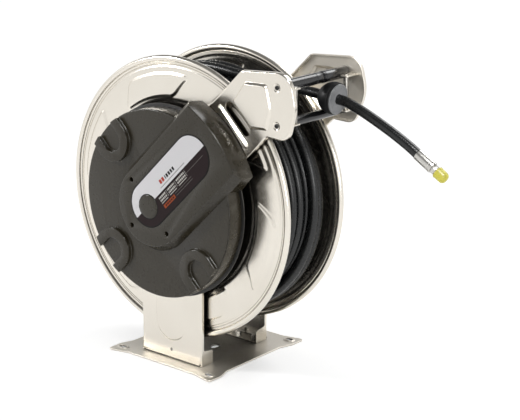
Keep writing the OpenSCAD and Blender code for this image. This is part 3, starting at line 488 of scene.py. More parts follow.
def rounded(corners: Sequence[Point], steps: int = 7, spacing: float = 1e9) -> Outline:
    """Round the corners of an outline.

    Args:
        corners: Corners as x, y and radius, anticlockwise.
        steps: Number of steps in each rounded corner.
        spacing: The longest stretch without a point.

    Returns:
        The outline with its inward directions.
    """
    points, inward = [], []
    count = len(corners)
    for i, (x, y, radius) in enumerate(corners):
        here = Vector((x, y))
        back = (Vector(corners[i - 1][:2]) - here).normalized()
        ahead = (Vector(corners[(i + 1) % count][:2]) - here).normalized()
        half = max(1e-3, math.acos(max(-1.0, min(1.0, back.dot(ahead)))) / 2)
        if math.pi / 2 - half < 1e-3:
            points.append(here)
            inward.append(Vector((-ahead.y, ahead.x)))
            continue
        centre = here + (back + ahead).normalized() * (radius / math.sin(half))
        start = here + back * (radius / math.tan(half)) - centre
        end = here + ahead * (radius / math.tan(half)) - centre
        turn = math.atan2(start.x * end.y - start.y * end.x, start.dot(end))
        first = math.atan2(start.y, start.x)
        side = -1 if turn > 0 else 1
        for k in range(steps + 1):
            a = first + turn * k / steps
            ray = Vector((math.cos(a), math.sin(a)))
            points.append(centre + ray * radius)
            inward.append(ray * side)
    full_points, full_inward = [], []
    for i, p in enumerate(points):
        q, m = points[(i + 1) % len(points)], inward[(i + 1) % len(points)]
        parts = max(1, math.ceil((q - p).length / spacing))
        if (q - p).length < 1e-4:
            continue
        for k in range(parts):
            full_points.append(p.lerp(q, k / parts))
            full_inward.append(inward[i].lerp(m, k / parts).normalized())
    return Outline(full_points, full_inward)


def disc_corners(x: float, y: float, r: float) -> list[Point]:
    """Corners that round to a circle."""
    return [(x + r * i, y + r * j, r * ROUND) for i, j in ((-1, -1), (1, -1), (1, 1), (-1, 1))]


def stadium(start: Point, end: Point, r: float) -> list[Point]:
    """Corners that round to a slot with two half-round ends.

    Args:
        start: Centre of one end.
        end: Centre of the other.
        r: Radius of both.

    Returns:
        Four corners as x, y and radius.
    """
    a, b = Vector(start), Vector(end)
    along = (b - a).normalized() * r
    across = Vector((-along.y, along.x))
    return [(*p, r * ROUND) for p in (a - along - across, b + along - across,
                                      b + along + across, a - along + across)]


def smooth(x: float) -> float:
    """Ease from 0 to 1."""
    c = max(0.0, min(1.0, x))
    return c * c * (3 - 2 * c)


def quarter_turn(steps: int) -> list[float]:
    """List the angles of a quarter turn in even steps."""
    return [math.pi / 2 * k / steps for k in range(steps + 1)]


def polar(r: float, a: float) -> Pair:
    """Give the point at a radius and an angle in radians."""
    return r * math.cos(a), r * math.sin(a)


def put_in_scene(name: str, data: bpy.types.ID) -> Object:
    """Make an object and link it to the scene.

    Args:
        name: Its name.
        data: Its mesh, light or camera.

    Returns:
        The new object.
    """
    made = bpy.data.objects.new(name, data)
    bpy.context.scene.collection.objects.link(made)
    return made


# ---- mesh building

class Shape:
    """Points and faces of one mesh, in millimetres, in a frame of its own."""

    def __init__(self, place: Matrix | None = None) -> None:
        """Start an empty shape that is put in place at the end."""
        self.mesh = bmesh.new()
        self.place = place or Matrix()

    def ring(self, points: Iterable[Point]) -> Ring:
        """Add a closed ring of points."""
        return [self.mesh.verts.new(p) for p in points]

    def strip(self, first: Ring, second: Ring) -> None:
        """Join two rings of as many points with quads.

        Args:
            first: One ring.
            second: The other.
        """
        count = len(first)
        for i in range(count):
            j = (i + 1) % count
            self.mesh.faces.new((first[i], first[j], second[j], second[i]))

    def loft(self, rings: Sequence[Ring], closed: bool = False, caps: bool = False) -> None:
        """Join rings one after another.

        Args:
            rings: The rings in order.
            closed: Whether the last joins the first.
            caps: Whether the first and the last are closed with a face.
        """
        for first, second in zip(rings, rings[1:]):
            self.strip(first, second)
        if closed:
            self.strip(rings[-1], rings[0])
        if caps:
            self.mesh.faces.new(rings[0])
            self.mesh.faces.new(rings[-1])

    def fill(self, rings: Sequence[Ring]) -> None:
        """Fill the flat space between an outer ring and the rings inside it.

        Args:
            rings: The outer ring, then the inner ones.
        """
        edges = []
        for ring in rings:
            for i, point in enumerate(ring):
                pair = (ring[i - 1], point)
                edges.append(self.mesh.edges.get(pair) or self.mesh.edges.new(pair))
        bmesh.ops.triangle_fill(self.mesh, use_beauty=True, edges=edges)

    def lathe(self, profile: Sequence[Point], segments: int = 96, closed: bool = False,
              lift: Callable[[float, float], float] | None = None) -> None:
        """Turn a profile about the local Z axis.

        Args:
            profile: Points as radius and height.
            segments: Number of steps round.
            closed: Whether the profile is a ring.
            lift: Extra height for a radius and an angle in degrees.
        """
        angles = [360 * k / segments for k in range(segments)]
        rings = [self.ring((*polar(r, math.radians(a)), z + (lift(r, a) if lift else 0)) for a in angles)
                 for r, z in profile]
        self.loft(rings, closed)

    def block(self, outline: Outline, z0: float, z1: float, edge: float) -> None:
        """Raise an outline to a plate with rounded edges.

        Args:
            outline: The plate's outline.
            z0: Its lower face.
            z1: Its upper face.
            edge: Radius of its edges.
        """
        arcs = quarter_turn(2)
        low = [(edge - edge * math.sin(a), z0 + edge - edge * math.cos(a)) for a in arcs]
        high = [(edge - edge * math.cos(a), z1 - edge + edge * math.sin(a)) for a in arcs]
        guard = edge * 0.4
        levels = [(edge + guard, z0), *low, *high, (edge + guard, z1)]
        self.loft([self.ring((*p, z) for p in outline.moved(t)) for t, z in levels], caps=True)

    def finish(self, name: str, angle: float = 32) -> Object:
        """Turn the shape into an object in metres, with its normals outwards.

        Args:
            name: The piece's name.
            angle: Edges sharper than this, in degrees, stay sharp.

        Returns:
            The new object, at the origin.
        """
        mesh = self.mesh
        mesh.transform(Matrix.Scale(MM, 4) @ self.place)
        bmesh.ops.remove_doubles(mesh, verts=mesh.verts, dist=WELD)
        bmesh.ops.dissolve_degenerate(mesh, edges=mesh.edges, dist=SHORTEST)
        loose = [v for v in mesh.verts if not v.link_faces]
        bmesh.ops.delete(mesh, geom=loose, context="VERTS")
        bmesh.ops.recalc_face_normals(mesh, faces=mesh.faces)
        data = bpy.data.meshes.new(name)
        mesh.to_mesh(data)
        mesh.free()
        data.shade_smooth()
        data.set_sharp_from_angle(angle=math.radians(angle))
        return put_in_scene(name, data)


@dataclass
class Press:
    """A form pressed into a sheet, or a hole through it."""

    corners: Sequence[Point]
    rise: float = 0.0
    run: float = 4.0
    hole: bool = False
    inner: list["Press"] = field(default_factory=list)


@dataclass
class Sheet:
    """A pressed sheet in a local frame: its outer face lies at Z, and its edges are turned back."""

    corners: Sequence[Point]
    thickness: float
    level: float
    depth: Callable[[Vector], float]
    bend: float = 4.0
    presses: list[Press] = field(default_factory=list)
    spacing: float = 1e9
    bend_steps: int = 5
    hole_edge: float = 0.5
    press_steps: int = 7

    def edge_levels(self, depth: float) -> list[Pair]:
        """List the edge's section, from the outer face round to the inner one.

        Args:
            depth: How far the edge is turned back here.

        Returns:
            Points as distance in from the outline and height under the outer face.
        """
        t, lip = self.thickness, 0.4
        bend = min(self.bend, depth / 2)
        inner = max(bend, t + 0.3)
        arcs = quarter_turn(self.bend_steps)
        outer_arc = [(bend - bend * math.sin(a), -bend + bend * math.cos(a)) for a in arcs]
        inner_arc = [(inner - (inner - t) * math.cos(a), -inner + (inner - t) * math.sin(a)) for a in arcs]
        section = [(self.bend + 2.0, 0.0), *outer_arc, (0.0, -depth + lip), (lip, -depth), (t - lip, -depth),
                   (t, -depth + lip), *inner_arc, (self.bend + 2.0, -t)]
        return [(x, max(z, -depth)) for x, z in section]

    def press_rings(self, shape: Shape, press: Press, base: float) -> tuple[Ring, Ring]:
        """Add one press or hole on both faces.

        Args:
            shape: The shape that gets the rings.
            press: The form.
            base: Height of the outer face round it.

        Returns:
            The rings where the outer and the inner face meet the form.
        """
        t = self.thickness
        outline = rounded(press.corners)
        if press.hole:
            e = self.hole_edge
            corner = [(-e - 0.4, 0), (-e, 0), (-e * 0.3, e * 0.3), (0, e)]
            levels = [(x, base - drop) for x, drop in corner]
            levels += [(x, base - t + drop) for x, drop in reversed(corner)]
            rings = [shape.ring((*p, z) for p in outline.moved(x)) for x, z in levels]
            shape.loft(rings)
            return rings[0], rings[-1]
        outer, inner = [], []
        for rings, drop in ((outer, 0.0), (inner, t)):
            levels = [(-0.5, 0.0)]
            levels += [(press.run * k / self.press_steps, press.rise * smooth(k / self.press_steps))
                       for k in range(self.press_steps + 1)]
            levels.append((press.run + 0.5, press.rise))
            rings += [shape.ring((*p, base + z - drop) for p in outline.moved(x)) for x, z in levels]
            shape.loft(rings)
        self.faces(shape, outer[-1], inner[-1], press.inner, base + press.rise)
        return outer[0], inner[0]

    def faces(self, shape: Shape, outer: Ring, inner: Ring, presses: Sequence[Press], level: float) -> None:
        """Fill the outer and the inner face between a border and the forms inside it.

        Args:
            shape: The shape that gets the faces.
            outer: The border's ring on the outer face.
            inner: Its ring on the inner face.
            presses: The forms inside it.
            level: Height of the outer face.
        """
        pairs = [self.press_rings(shape, press, level) for press in presses]
        shape.fill([outer] + [pair[0] for pair in pairs])
        shape.fill([inner] + [pair[1] for pair in pairs])

    def add_to(self, shape: Shape) -> None:
        """Add the whole sheet to a shape.

        Args:
            shape: The shape that gets it.
        """
        outline = rounded(self.corners, spacing=self.spacing)
        sections = [self.edge_levels(self.depth(p)) for p in outline.points]
        rings = [shape.ring((*(p + m * t), self.level + z)
                            for p, m, (t, z) in zip(outline.points, outline.inward, level))
                 for level in zip(*sections)]
        shape.loft(rings)
        self.faces(shape, rings[0], rings[-1], self.presses, self.level)


def evaluated(piece: Object) -> Object:
    """Turn a piece's live modifiers into plain mesh.

    Args:
        piece: An object with modifiers.

    Returns:
        The same object, with its result as its mesh.
    """
    graph = bpy.context.evaluated_depsgraph_get()
    result = bpy.data.meshes.new_from_object(piece.evaluated_get(graph), preserve_all_data_layers=True,
                                             depsgraph=graph)
    result.name = piece.name
    piece.modifiers.clear()
    piece.data = result
    return piece


def eased_copy(node: str, width: float, steps: int = 2, clamp: bool = True) -> Object:
    """Copy a CAD node with its edges rounded, as moulding and machining leave them.

    Args:
        node: The CAD node.
        width: Width of the rounding.
        steps: Steps across it.
        clamp: Whether the shortest edge limits the width everywhere.

    Returns:
        A new object.
    """
    mesh = bmesh.new()
    mesh.from_mesh(frame["nodes"][node].data)
    bmesh.ops.remove_doubles(mesh, verts=mesh.verts, dist=2e-6)
    bmesh.ops.dissolve_limit(mesh, angle_limit=math.radians(0.4), verts=mesh.verts, edges=mesh.edges)
    data = bpy.data.meshes.new(f"{node}_eased")
    mesh.to_mesh(data)
    mesh.free()
    data.shade_smooth()
    piece = put_in_scene(f"{node}_eased", data)
    bevel = piece.modifiers.new("edges", "BEVEL")
    bevel.width = width * MM
    bevel.segments = steps
    bevel.limit_method = "ANGLE"
    bevel.angle_limit = math.radians(30)
    bevel.harden_normals = True
    bevel.use_clamp_overlap = clamp
    return evaluated(piece)


# ---- geometry node trees

class Tree:
    """A geometry node tree with named inputs."""

    def __init__(self, name: str, inputs: dict[str, str]) -> None:
        """Start a tree.

        Args:
            name: The tree's name.
            inputs: Socket types by input name.
        """
        self.tree = bpy.data.node_groups.new(name, "GeometryNodeTree")
        face = self.tree.interface
        face.new_socket("Geometry", in_out="INPUT", socket_type="NodeSocketGeometry")
        self.keys = {key: face.new_socket(key, in_out="INPUT", socket_type=kind).identifier
                     for key, kind in inputs.items()}
        face.new_socket("Geometry", in_out="OUTPUT", socket_type="NodeSocketGeometry")
        self.given = self.tree.nodes.new("NodeGroupInput").outputs

    def add(self, kind: str, inputs: dict | None = None, **settings: object) -> bpy.types.NodeOutputs:
        """Add a node and return its outputs."""
        return add_node(self.tree, kind, inputs, **settings).outputs

    def end(self, geometry: Socket) -> "Tree":
        """Close the tree with plain geometry in one finish.

        Args:
            geometry: The tree's result.

        Returns:
            The tree itself.
        """
        real = self.add("GeometryNodeRealizeInstances", {"Geometry": geometry})[0]
        dressed = self.add("GeometryNodeSetMaterial", {"Geometry": real, "Material": self.given["Finish"]})[0]
        self.add("NodeGroupOutput", {0: dressed})
        return self

    def run(self, name: str, points: Sequence[Point], edges: Sequence[tuple[int, int]], values: dict,
            directions: Sequence[Point] | None = None) -> Object:
        """Run the tree on points or a line and keep its result as plain mesh.

        Args:
            name: Name of the piece.
            points: Points in millimetres.
            edges: Pairs of points that are joined.
            values: Values by input name.
            directions: The way out of the surface at each point.

        Returns:
            The finished object.
        """
        data = bpy.data.meshes.new(name)
        data.from_pydata([Vector(p) * MM for p in points], edges, [])
        if directions:
            out = data.attributes.new("out", "FLOAT_VECTOR", "POINT")
            out.data.foreach_set("vector", [c for d in directions for c in d])
        piece = put_in_scene(name, data)
        modifier = piece.modifiers.new(self.tree.name, "NODES")
        modifier.node_group = self.tree
        for key, value in values.items():
            modifier[self.keys[key]] = value
        return evaluated(piece)


def tube_tree() -> Tree:
    """Make the tree that lays a round tube along a line and notes where each point lies on it.

    Returns:
        A tree with the inputs Radius, Sides and Finish.
    """
    tree = Tree("tube", {
        "Radius": "NodeSocketFloat", "Sides": "NodeSocketInt", "Finish": "NodeSocketMaterial"})

    def noted(geometry: Socket, name: str, value: Socket, kind: str) -> Socket:
        """Keep a value on the points under a name."""
        return tree.add("GeometryNodeStoreNamedAttribute", {
            "Geometry": geometry, "Name": name, "Value": value}, data_type=kind, domain="POINT")[0]

    line = tree.add("GeometryNodeMeshToCurve", {"Mesh": tree.given["Geometry"]})[0]
    length = tree.add("GeometryNodeSplineParameter")["Length"]
    line = noted(line, "along", length, "FLOAT")
    circle = tree.add("GeometryNodeCurvePrimitiveCircle", {
        "Resolution": tree.given["Sides"], "Radius": tree.given["Radius"]})[0]
    position = tree.add("GeometryNodeInputPosition")[0]
    circle = noted(circle, "about", position, "FLOAT_VECTOR")
    tube = tree.add("GeometryNodeCurveToMesh", {"Curve": line, "Profile Curve": circle, "Fill Caps": True})[0]
    return tree.end(tube)


def scatter_tree() -> Tree:
    """Make the tree that sets a copy of a template on each point, turned by chance about its own axis.

    Returns:
        A tree with the inputs Template, Turn, Seed and Finish.
    """
    tree = Tree("scatter", {
        "Template": "NodeSocketObject", "Turn": "NodeSocketFloat", "Seed": "NodeSocketInt",
        "Finish": "NodeSocketMaterial"})
    template = tree.add("GeometryNodeObjectInfo", {"Object": tree.given["Template"]},
                        transform_space="ORIGINAL")
    out = tree.add("GeometryNodeInputNamedAttribute", {"Name": "out"}, data_type="FLOAT_VECTOR")[0]
    aim = tree.add("FunctionNodeAlignRotationToVector", {"Vector": out}, axis="Z")[0]
    chance = tree.add("FunctionNodeRandomValue", {2: 0.0, 3: tree.given["Turn"], "Seed": tree.given["Seed"]},
                      data_type="FLOAT")[1]
    spin = tree.add("FunctionNodeAxisAngleToRotation", {"Axis": (0, 0, 1), "Angle": chance})[0]
    turned = tree.add("FunctionNodeRotateRotation", {"Rotation": aim, "Rotate By": spin},
                      rotation_space="LOCAL")[0]
    copies = tree.add("GeometryNodeInstanceOnPoints", {
        "Points": tree.given["Geometry"], "Instance": template["Geometry"], "Rotation": turned})[0]
    return tree.end(copies)


# ---- the frame's own places

class Side(Enum):
    """The two sides of the reel: the spring motor is on the near one, the water inlet on the far one."""

    NEAR = "near"
    FAR = "far"


AXIS_LOW, AXIS_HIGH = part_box("drum")
AXIS = (AXIS_LOW + AXIS_HIGH) / 2 / MM


def reel_frame(side: Side) -> Matrix:
    """Give the frame of one side: X across, Y up and Z outwards from the reel's middle.

    Args:
        side: The side that Z points to.

    Returns:
        Its matrix, in millimetres.
    """
    out = -1 if side is Side.NEAR else 1
    return Matrix(((1, 0, 0, AXIS.x), (0, 0, out, AXIS.y), (0, 1, 0, AXIS.z), (0, 0, 0, 1)))


def aimed(origin: Vector, direction: Vector) -> Matrix:
    """Give a frame with its Z along a direction in the XZ plane.

    Args:
        origin: Where it lies.
        direction: The way of its Z axis.

    Returns:
        Its matrix, in millimetres.
    """
    z = direction.normalized()
    y = Vector((0, 1, 0))
    x = y.cross(z)
    return Matrix.Translation(origin) @ Matrix((x, y, z)).transposed().to_4x4()


# Heights over the reel's middle plane, out along the axis
ARM_OUT = -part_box("spring_can")[1].y / MM + AXIS.y
PEDESTAL_OUT = ARM_OUT - 3
COVER_FRONT = ARM_OUT + 41
HOOD_FRONT = ARM_OUT + 63.5


# ---- hose

@dataclass
class Hose:
    """The hose: wound on the drum, led through the ball stop, and its free end."""

    wardrobe: Wardrobe
    tube: Tree
    diameter: float = 21.0
    sides: int = 28
    turn_sides: int = 24
    core_sides: int = 16
    layer_r: float = 244.0
    layer_step: float = 21.5
    pitch: float = 24.0
    far_y: float = 62.0
    turns: Pair = (5.9, 1.8)
    end_angle: float = 85.0
    climb: float = 180.0
    ring_step: float = 3.75
    core_r: float = 222.0
    core_pitch: float = 21.6
    core_half: float = 71.5
    packing: Triple = (152.0, 212.0, 82.0)
    stop: Vector = field(default_factory=lambda: Vector((311.29, 35, 601)))
    stop_front: float = 12.5
    stop_back: float = 43.5
    run_points: tuple = ((104, 618.5), (176, 612.5), (240, 606.5))
    tail_points: tuple = ((345, 597), (366, 590), (388, 582), (411, 572.5), (434, 562.5), (457, 552),
                          (479, 541), (500, 529.8))
    tail_tilt: float = 31.0
    sample: float = 3.0

    @property
    def out(self) -> Vector:
        """The way in which the hose leaves the winding and goes through the stop."""
        tilt = math.radians(90 - self.end_angle)
        return Vector((math.cos(tilt), 0, -math.sin(tilt)))

    @property
    def tail_out(self) -> Vector:
        """The way of the hose's end and of its fitting."""
        tilt = math.radians(self.tail_tilt)
        return Vector((math.cos(tilt), 0, -math.sin(tilt)))

    @property
    def stop_exit(self) -> Vector:
        """Where the hose leaves the front of the stop."""
        return self.stop + self.out * self.stop_front

    @property
    def tail_end(self) -> Vector:
        """Where the hose ends in its ferrule."""
        x, z = self.tail_points[-1]
        return Vector((x, self.stop.y, z)) + self.tail_out * self.diameter

    def wind_point(self, t: float) -> Vector:
        """Give the winding's centre at an angle from its inner end.

        Args:
            t: The angle in degrees.

        Returns:
            The point in millimetres.
        """
        first = 360 * self.turns[0]
        angle = math.radians(self.end_angle + 360 * sum(self.turns) - t)
        r = self.layer_r + self.layer_step * smooth((t - first + self.climb / 2) / self.climb)
        y = self.far_y - self.pitch * abs(t - first) / 360
        x, up = polar(r, angle)
        return Vector((x, y, AXIS.z + up))

    def winding_line(self) -> list[Vector]:
        """List the points of the outer layers, with straight ends.

        Returns:
            Points in millimetres.
        """
        total = 360 * sum(self.turns)
        count = round(total / self.ring_step)
        line = [self.wind_point(total * i / count) for i in range(count + 1)]
        start = (line[0] - line[1]).normalized() * self.diameter
        return [line[0] + start, *line, line[-1] + self.out * self.diameter]

    def core_line(self) -> list[Vector]:
        """List the points of the layer that lies under the outer ones.

        Returns:
            Points in millimetres.
        """
        count = round(2 * self.core_half / self.core_pitch * 360 / self.ring_step)
        line = []
        for i in range(count + 1):
            x, up = polar(self.core_r, math.radians(i * self.ring_step))
            y = AXIS.y - self.core_half + self.core_pitch * i * self.ring_step / 360
            line.append(Vector((x, y, AXIS.z + up)))
        return line

    def through(self, points: Sequence[Vector]) -> list[Vector]:
        """Lay a smooth line through points.

        Args:
            points: The points in order.

        Returns:
            Closely spaced points of a Catmull-Rom curve.
        """
        ends = [2 * points[0] - points[1], *points, 2 * points[-1] - points[-2]]
        line = []
        for a, b, c, d in zip(ends, ends[1:], ends[2:], ends[3:]):
            steps = max(2, round((c - b).length / self.sample))
            for k in range(steps):
                t = k / steps
                line.append(0.5 * (2 * b + (c - a) * t + (2 * a - 5 * b + 4 * c - d) * t * t
                                   + (3 * b - a - 3 * c + d) * t ** 3))
        return [*line, points[-1]]

    def run_line(self) -> list[Vector]:
        """List the points from the winding to the front of the stop.

        Returns:
            Points in millimetres.
        """
        start = self.winding_line()[-1]
        entry = self.stop - self.out * self.stop_back
        rise = self.stop.y - start.y
        between = [Vector((x, start.y + rise * smooth((x - start.x) / (entry.x - start.x)), z))
                   for x, z in self.run_points]
        return self.through([start, start + self.out * self.diameter, *between, entry, self.stop_exit])

    def tail_line(self) -> list[Vector]:
        """List the points of the free end.

        Returns:
            Points in millimetres.
        """
        points = [Vector((x, self.stop.y, z)) for x, z in self.tail_points]
        first = self.stop_exit + self.out * self.diameter / 2
        return self.through([self.stop_exit, first, *points, self.tail_end])

    def lay(self, name: str, line: Sequence[Vector], body: str, sides: int, node: str) -> Object:
        """Lay one stretch of hose along its line.

        Args:
            name: The piece's name.
            line: Its middle line, in millimetres.
            body: The body that carries it.
            sides: Number of points round it.
            node: The CAD node that it replaces.

        Returns:
            The dressed piece.
        """
        piece = self.tube.run(name, line, [(i, i + 1) for i in range(len(line) - 1)], {
            "Radius": self.diameter / 2 * MM, "Sides": sides, "Finish": self.wardrobe.materials[Slot.HOSE]})
        piece.data.shade_smooth()
        piece.data.set_sharp_from_angle(angle=math.radians(50))
        return self.wardrobe.enlist(piece, Slot.HOSE, body, node)

    def fitting(self) -> list[Object]:
        """Make the ferrule, the hex fitting and the cap on the hose's end.

        Returns:
            The three pieces.
        """
        place = aimed(self.tail_end, self.tail_out)
        ferrule = Shape(place)
        crimps = [(10.6, 0.4), (11.2, 0), (11.8, 0.5), (12, 1.4), (12, 33), (11.5, 33.6), (11.5, 35),
                  (12, 35.6), (12, 41), (11.6, 42.3), (10.4, 43)]
        ferrule.lathe([(0, 0.4), *crimps, (0, 43)], 64)
        fitting = Shape(place)
        hexagon = [(*polar(11, a), 0.8) for a in map(math.radians, range(0, 360, 60))]
        fitting.block(rounded(hexagon, 3), 43, 52, 0.7)
        thread = [(0, 51.8), (8.4, 51.8), (8.4, 53), (10.2, 54)]
        thread += [point for k in range(8) for point in ((10.2, 54.4 + 1.9 * k), (9.3, 55.3 + 1.9 * k))]
        fitting.lathe([*thread, (9.3, 70), (0, 70)], 48)
        cap = Shape(place @ Matrix.Translation((0, 0, 54)))
        cap.lathe([(10.8, 14), (10.8, 0.3), (11.2, 0), (12.1, 0), (12.4, 0.4), (12.4, 2.6), (12, 3),
                   (11.9, 16), (11.4, 19), (10.2, 21.6), (8, 23.6), (5, 24.7), (2.5, 25), (0, 25),
                   (0, 17.3), (10.7, 17.3)], 72)
        return [
            self.wardrobe.enlist(ferrule.finish("crimped_ferrule"), Slot.ZINC, "root", "hose_ferrule"),
            self.wardrobe.enlist(fitting.finish("threaded_end"), Slot.ZINC, "root", "end_fitting"),
            self.wardrobe.enlist(cap.finish("yellow_cap", 40), Slot.CAP, "end_cap", "end_cap"),
        ]

    def build(self) -> None:
        """Make every stretch of the hose, the fitting on its end and its deep turns."""
        line = self.tail_line()
        tail = self.lay("hose_free_end", line, "root", self.sides, "hose_tail")
        pieces = self.fitting()
        self.lay("hose_to_stop", self.run_line(), "root", self.sides, "hose_run")
        self.lay("hose_outer_turns", self.winding_line(), "root", self.turn_sides, "hose_winding")
        self.lay("hose_inner_turns", self.core_line(), "reel", self.core_sides, "hose_core")
        inner, outer, half = self.packing
        packing = Shape(reel_frame(Side.NEAR))
        packing.lathe([(inner, -half), (outer, -half), (outer, half), (inner, half)], 120, closed=True)
        self.wardrobe.enlist(packing.finish("hose_deep_turns"), Slot.SEAL, "reel")


# ---- reel

@dataclass
class SideDisc:
    """A pressed side disc: sunk middle, raised pockets and a rolled rim."""

    wardrobe: Wardrobe
    side: Side
    bore: float = 18.2
    thickness: float = 1.5
    dish_r: float = 200.0
    dish_level: float = 84.25
    slope: float = 15.0
    web_level: float = 90.25
    bead_r: float = 298.2
    bead_level: float = 88.7
    bead: float = 6.05
    step: Triple = (279.0, 284.0, 1.9)
    line: Pair = (286.9, 1.1)
    pockets: int = 6
    pocket_centre: float = 105.7
    pocket_mid: float = 243.5
    pocket_half: Pair = (83.0, 27.5)
    pocket_round: float = 14.0
    pocket_rise: float = 3.5
    pocket_run: float = 7.0
    pocket_skew: float = 0.19
    segments: int = 600

    def middle_line(self) -> list[Pair]:
        """List the middle of the sheet from the bore to the end of the rolled rim.

        Returns:
            Points as radius and height.
        """
        line = [(self.bore, self.dish_level), (60, self.dish_level), (140, self.dish_level)]
        drop = self.web_level - self.dish_level
        line += [(self.dish_r + self.slope * k / 6, self.dish_level + drop * smooth(k / 6)) for k in range(7)]
        line += [(218 + 1.9 * k, self.web_level) for k in range(32)]
        start, end, sink = self.step
        line += [(start + (end - start) * k / 5, self.web_level - sink * smooth(k / 5)) for k in range(1, 6)]
        low = self.web_level - sink
        scored, deep = self.line
        line += [(scored + x, low - deep * y) for x, y in ((-1.5, 0), (-0.7, 1), (0.7, 1), (1.5, 0))]
        line += [(289.6, low), (291.0, low + 0.35), (291.9, low + 1.1)]
        for k in range(21):
            a = math.radians(170 - 15.5 * k)
            line.append((self.bead_r + self.bead * math.cos(a), self.bead_level + self.bead * math.sin(a)))
        return line

    def profile(self) -> list[Pair]:
        """List the closed section of the sheet, half its thickness to each side of its middle.

        Returns:
            Points as radius and height.
        """
        line = [Vector(p) for p in self.middle_line()]
        outer, inner = [], []
        for i, p in enumerate(line):
            way = (line[min(i + 1, len(line) - 1)] - line[max(i - 1, 0)]).normalized()
            normal = Vector((-way.y, way.x)) * self.thickness / 2
            outer.append(tuple(p + normal))
            inner.append(tuple(p - normal))
        return outer + inner[::-1]

    def pocket(self, r: float, angle: float) -> float:
        """Give the height of the pockets at a radius and an angle.

        Args:
            r: Radius in millimetres.
            angle: Angle in degrees.

        Returns:
            How far the sheet stands out there.
        """
        if abs(r - self.pocket_mid) > self.pocket_half[1]:
            return 0.0
        middle = self.pocket_centre + self.pocket_skew * (self.pocket_mid - r)
        step = 360 / self.pockets
        off = (angle - middle + step / 2) % step - step / 2
        u = abs(math.radians(off) * self.pocket_mid) - self.pocket_half[0] + self.pocket_round
        v = abs(r - self.pocket_mid) - self.pocket_half[1] + self.pocket_round
        outside = math.hypot(max(u, 0), max(v, 0)) + min(max(u, v), 0)
        return self.pocket_rise * smooth((self.pocket_round - outside) / self.pocket_run)

    def build(self) -> None:
        """Make the disc."""
        shape = Shape(reel_frame(self.side))
        shape.lathe(self.profile(), self.segments, closed=True, lift=self.pocket)
        name = f"{self.side.value}_disc"
        # The near disc's sheet has painted shade where other pieces stand close
        self.wardrobe.enlist(shape.finish(f"{name}_pressed", 50), Slot.SHEET, "reel", name,
                             material=self.wardrobe.sheltered if self.side is Side.NEAR else None)


# ---- pedestals and base

@dataclass
class Stand:
    """Base plate and the two folded pedestals."""

    wardrobe: Wardrobe
    half: Pair = (138.0, 150.0)
    plate_t: float = 4.0
    ear_out: float = 10.0
    slot: Pair = (126.0, 136.0)
    slot_half: Pair = (3.5, 5.5)
    slot_rim: float = 6.0
    rise: float = 1.9
    width: float = 172.0
    sheet: float = 3.0
    flange: float = 9.0
    foot: float = 38.0
    gusset: float = 29.0
    ease: float = 6.0
    panel_half: float = 44.0

    def base(self) -> None:
        """Make the base plate with its ears, raised slots and openings."""
        x, y = self.half
        e = self.ear_out
        quarter = [(x, y - 58, 3), (x + e, y - 28, 6), (x + e, y + e, 6), (x, y + e, 8), (x - 41, y, 4)]
        corners = quarter + [(-a, b, r) for a, b, r in reversed(quarter)]
        corners += [(-a, -b, r) for a, b, r in quarter] + [(a, -b, r) for a, b, r in reversed(quarter)]
        presses = []
        for sx in (-1, 1):
            for sy in (-1, 1):
                cx, cy = self.slot[0] * sx, self.slot[1] * sy
                reach, radius = self.slot_half
                ends = (cx - reach, cy), (cx + reach, cy)
                hole = Press(stadium(*ends, radius), hole=True)
                presses.append(Press(stadium(*ends, radius + self.slot_rim), self.rise, 3.5, inner=[hole]))
            presses.append(Press(stadium((24 * sx, -5), (24 * sx, 5), 7.5), hole=True))
        shape = Shape()
        Sheet(corners, self.plate_t, self.plate_t, lambda p: self.plate_t, 1.2, presses).add_to(shape)
        # The base plate has painted shade, darkest between the pedestals
        self.wardrobe.enlist(shape.finish("base_plate_pressed"), Slot.SHEET, "root", "base_plate",
                             material=self.wardrobe.blasted_shaded)

    def turned_back(self, point: Vector) -> float:
        """Give how far a pedestal's edge is turned back at a point of its outline.

        Args:
            point: The point in the side's frame.

        Returns:
            The depth in millimetres.
        """
        ground = self.plate_t - AXIS.z
        height = point.y - ground
        if height < 0.5:
            return self.foot
        if abs(point.x) < self.width / 2 - 0.5 or height > -ground + 2:
            return self.sheet
        side = self.foot + (self.flange - self.foot) * smooth((height - self.gusset) / self.ease)
        return self.sheet + (side - self.sheet) * smooth((-ground - height) / self.ease)

    def pedestal(self, side: Side) -> None:
        """Make one pedestal from a folded sheet.

        Args:
            side: The side that it stands on.
        """
        w, ground, r = self.width / 2, self.plate_t - AXIS.z, self.width / 2 * ROUND
        corners = [(-w, ground, 0.6), (w, ground, 0.6), (w, w, r), (-w, w, r)]
        presses = [
            Press(stadium((0, ground + 85), (0, -150), self.panel_half), self.rise),
            Press(disc_corners(0, ground + 20, 3.5), hole=True),
            Press(disc_corners(0, 0, 26.3), hole=True),
        ]
        shape = Shape(reel_frame(side))
        Sheet(corners, self.sheet, PEDESTAL_OUT, self.turned_back, 3.6, presses, spacing=3.0).add_to(shape)
        name = f"{side.value}_pedestal"
        # The pedestals' sheet has painted shade where other pieces stand close
        self.wardrobe.enlist(shape.finish(f"{name}_folded"), Slot.SHEET, "root", name,
                             material=self.wardrobe.sheltered)

    def build(self) -> None:
        """Make the whole stand."""
        self.base()
        for side in Side:
            self.pedestal(side)


# ---- guide arms

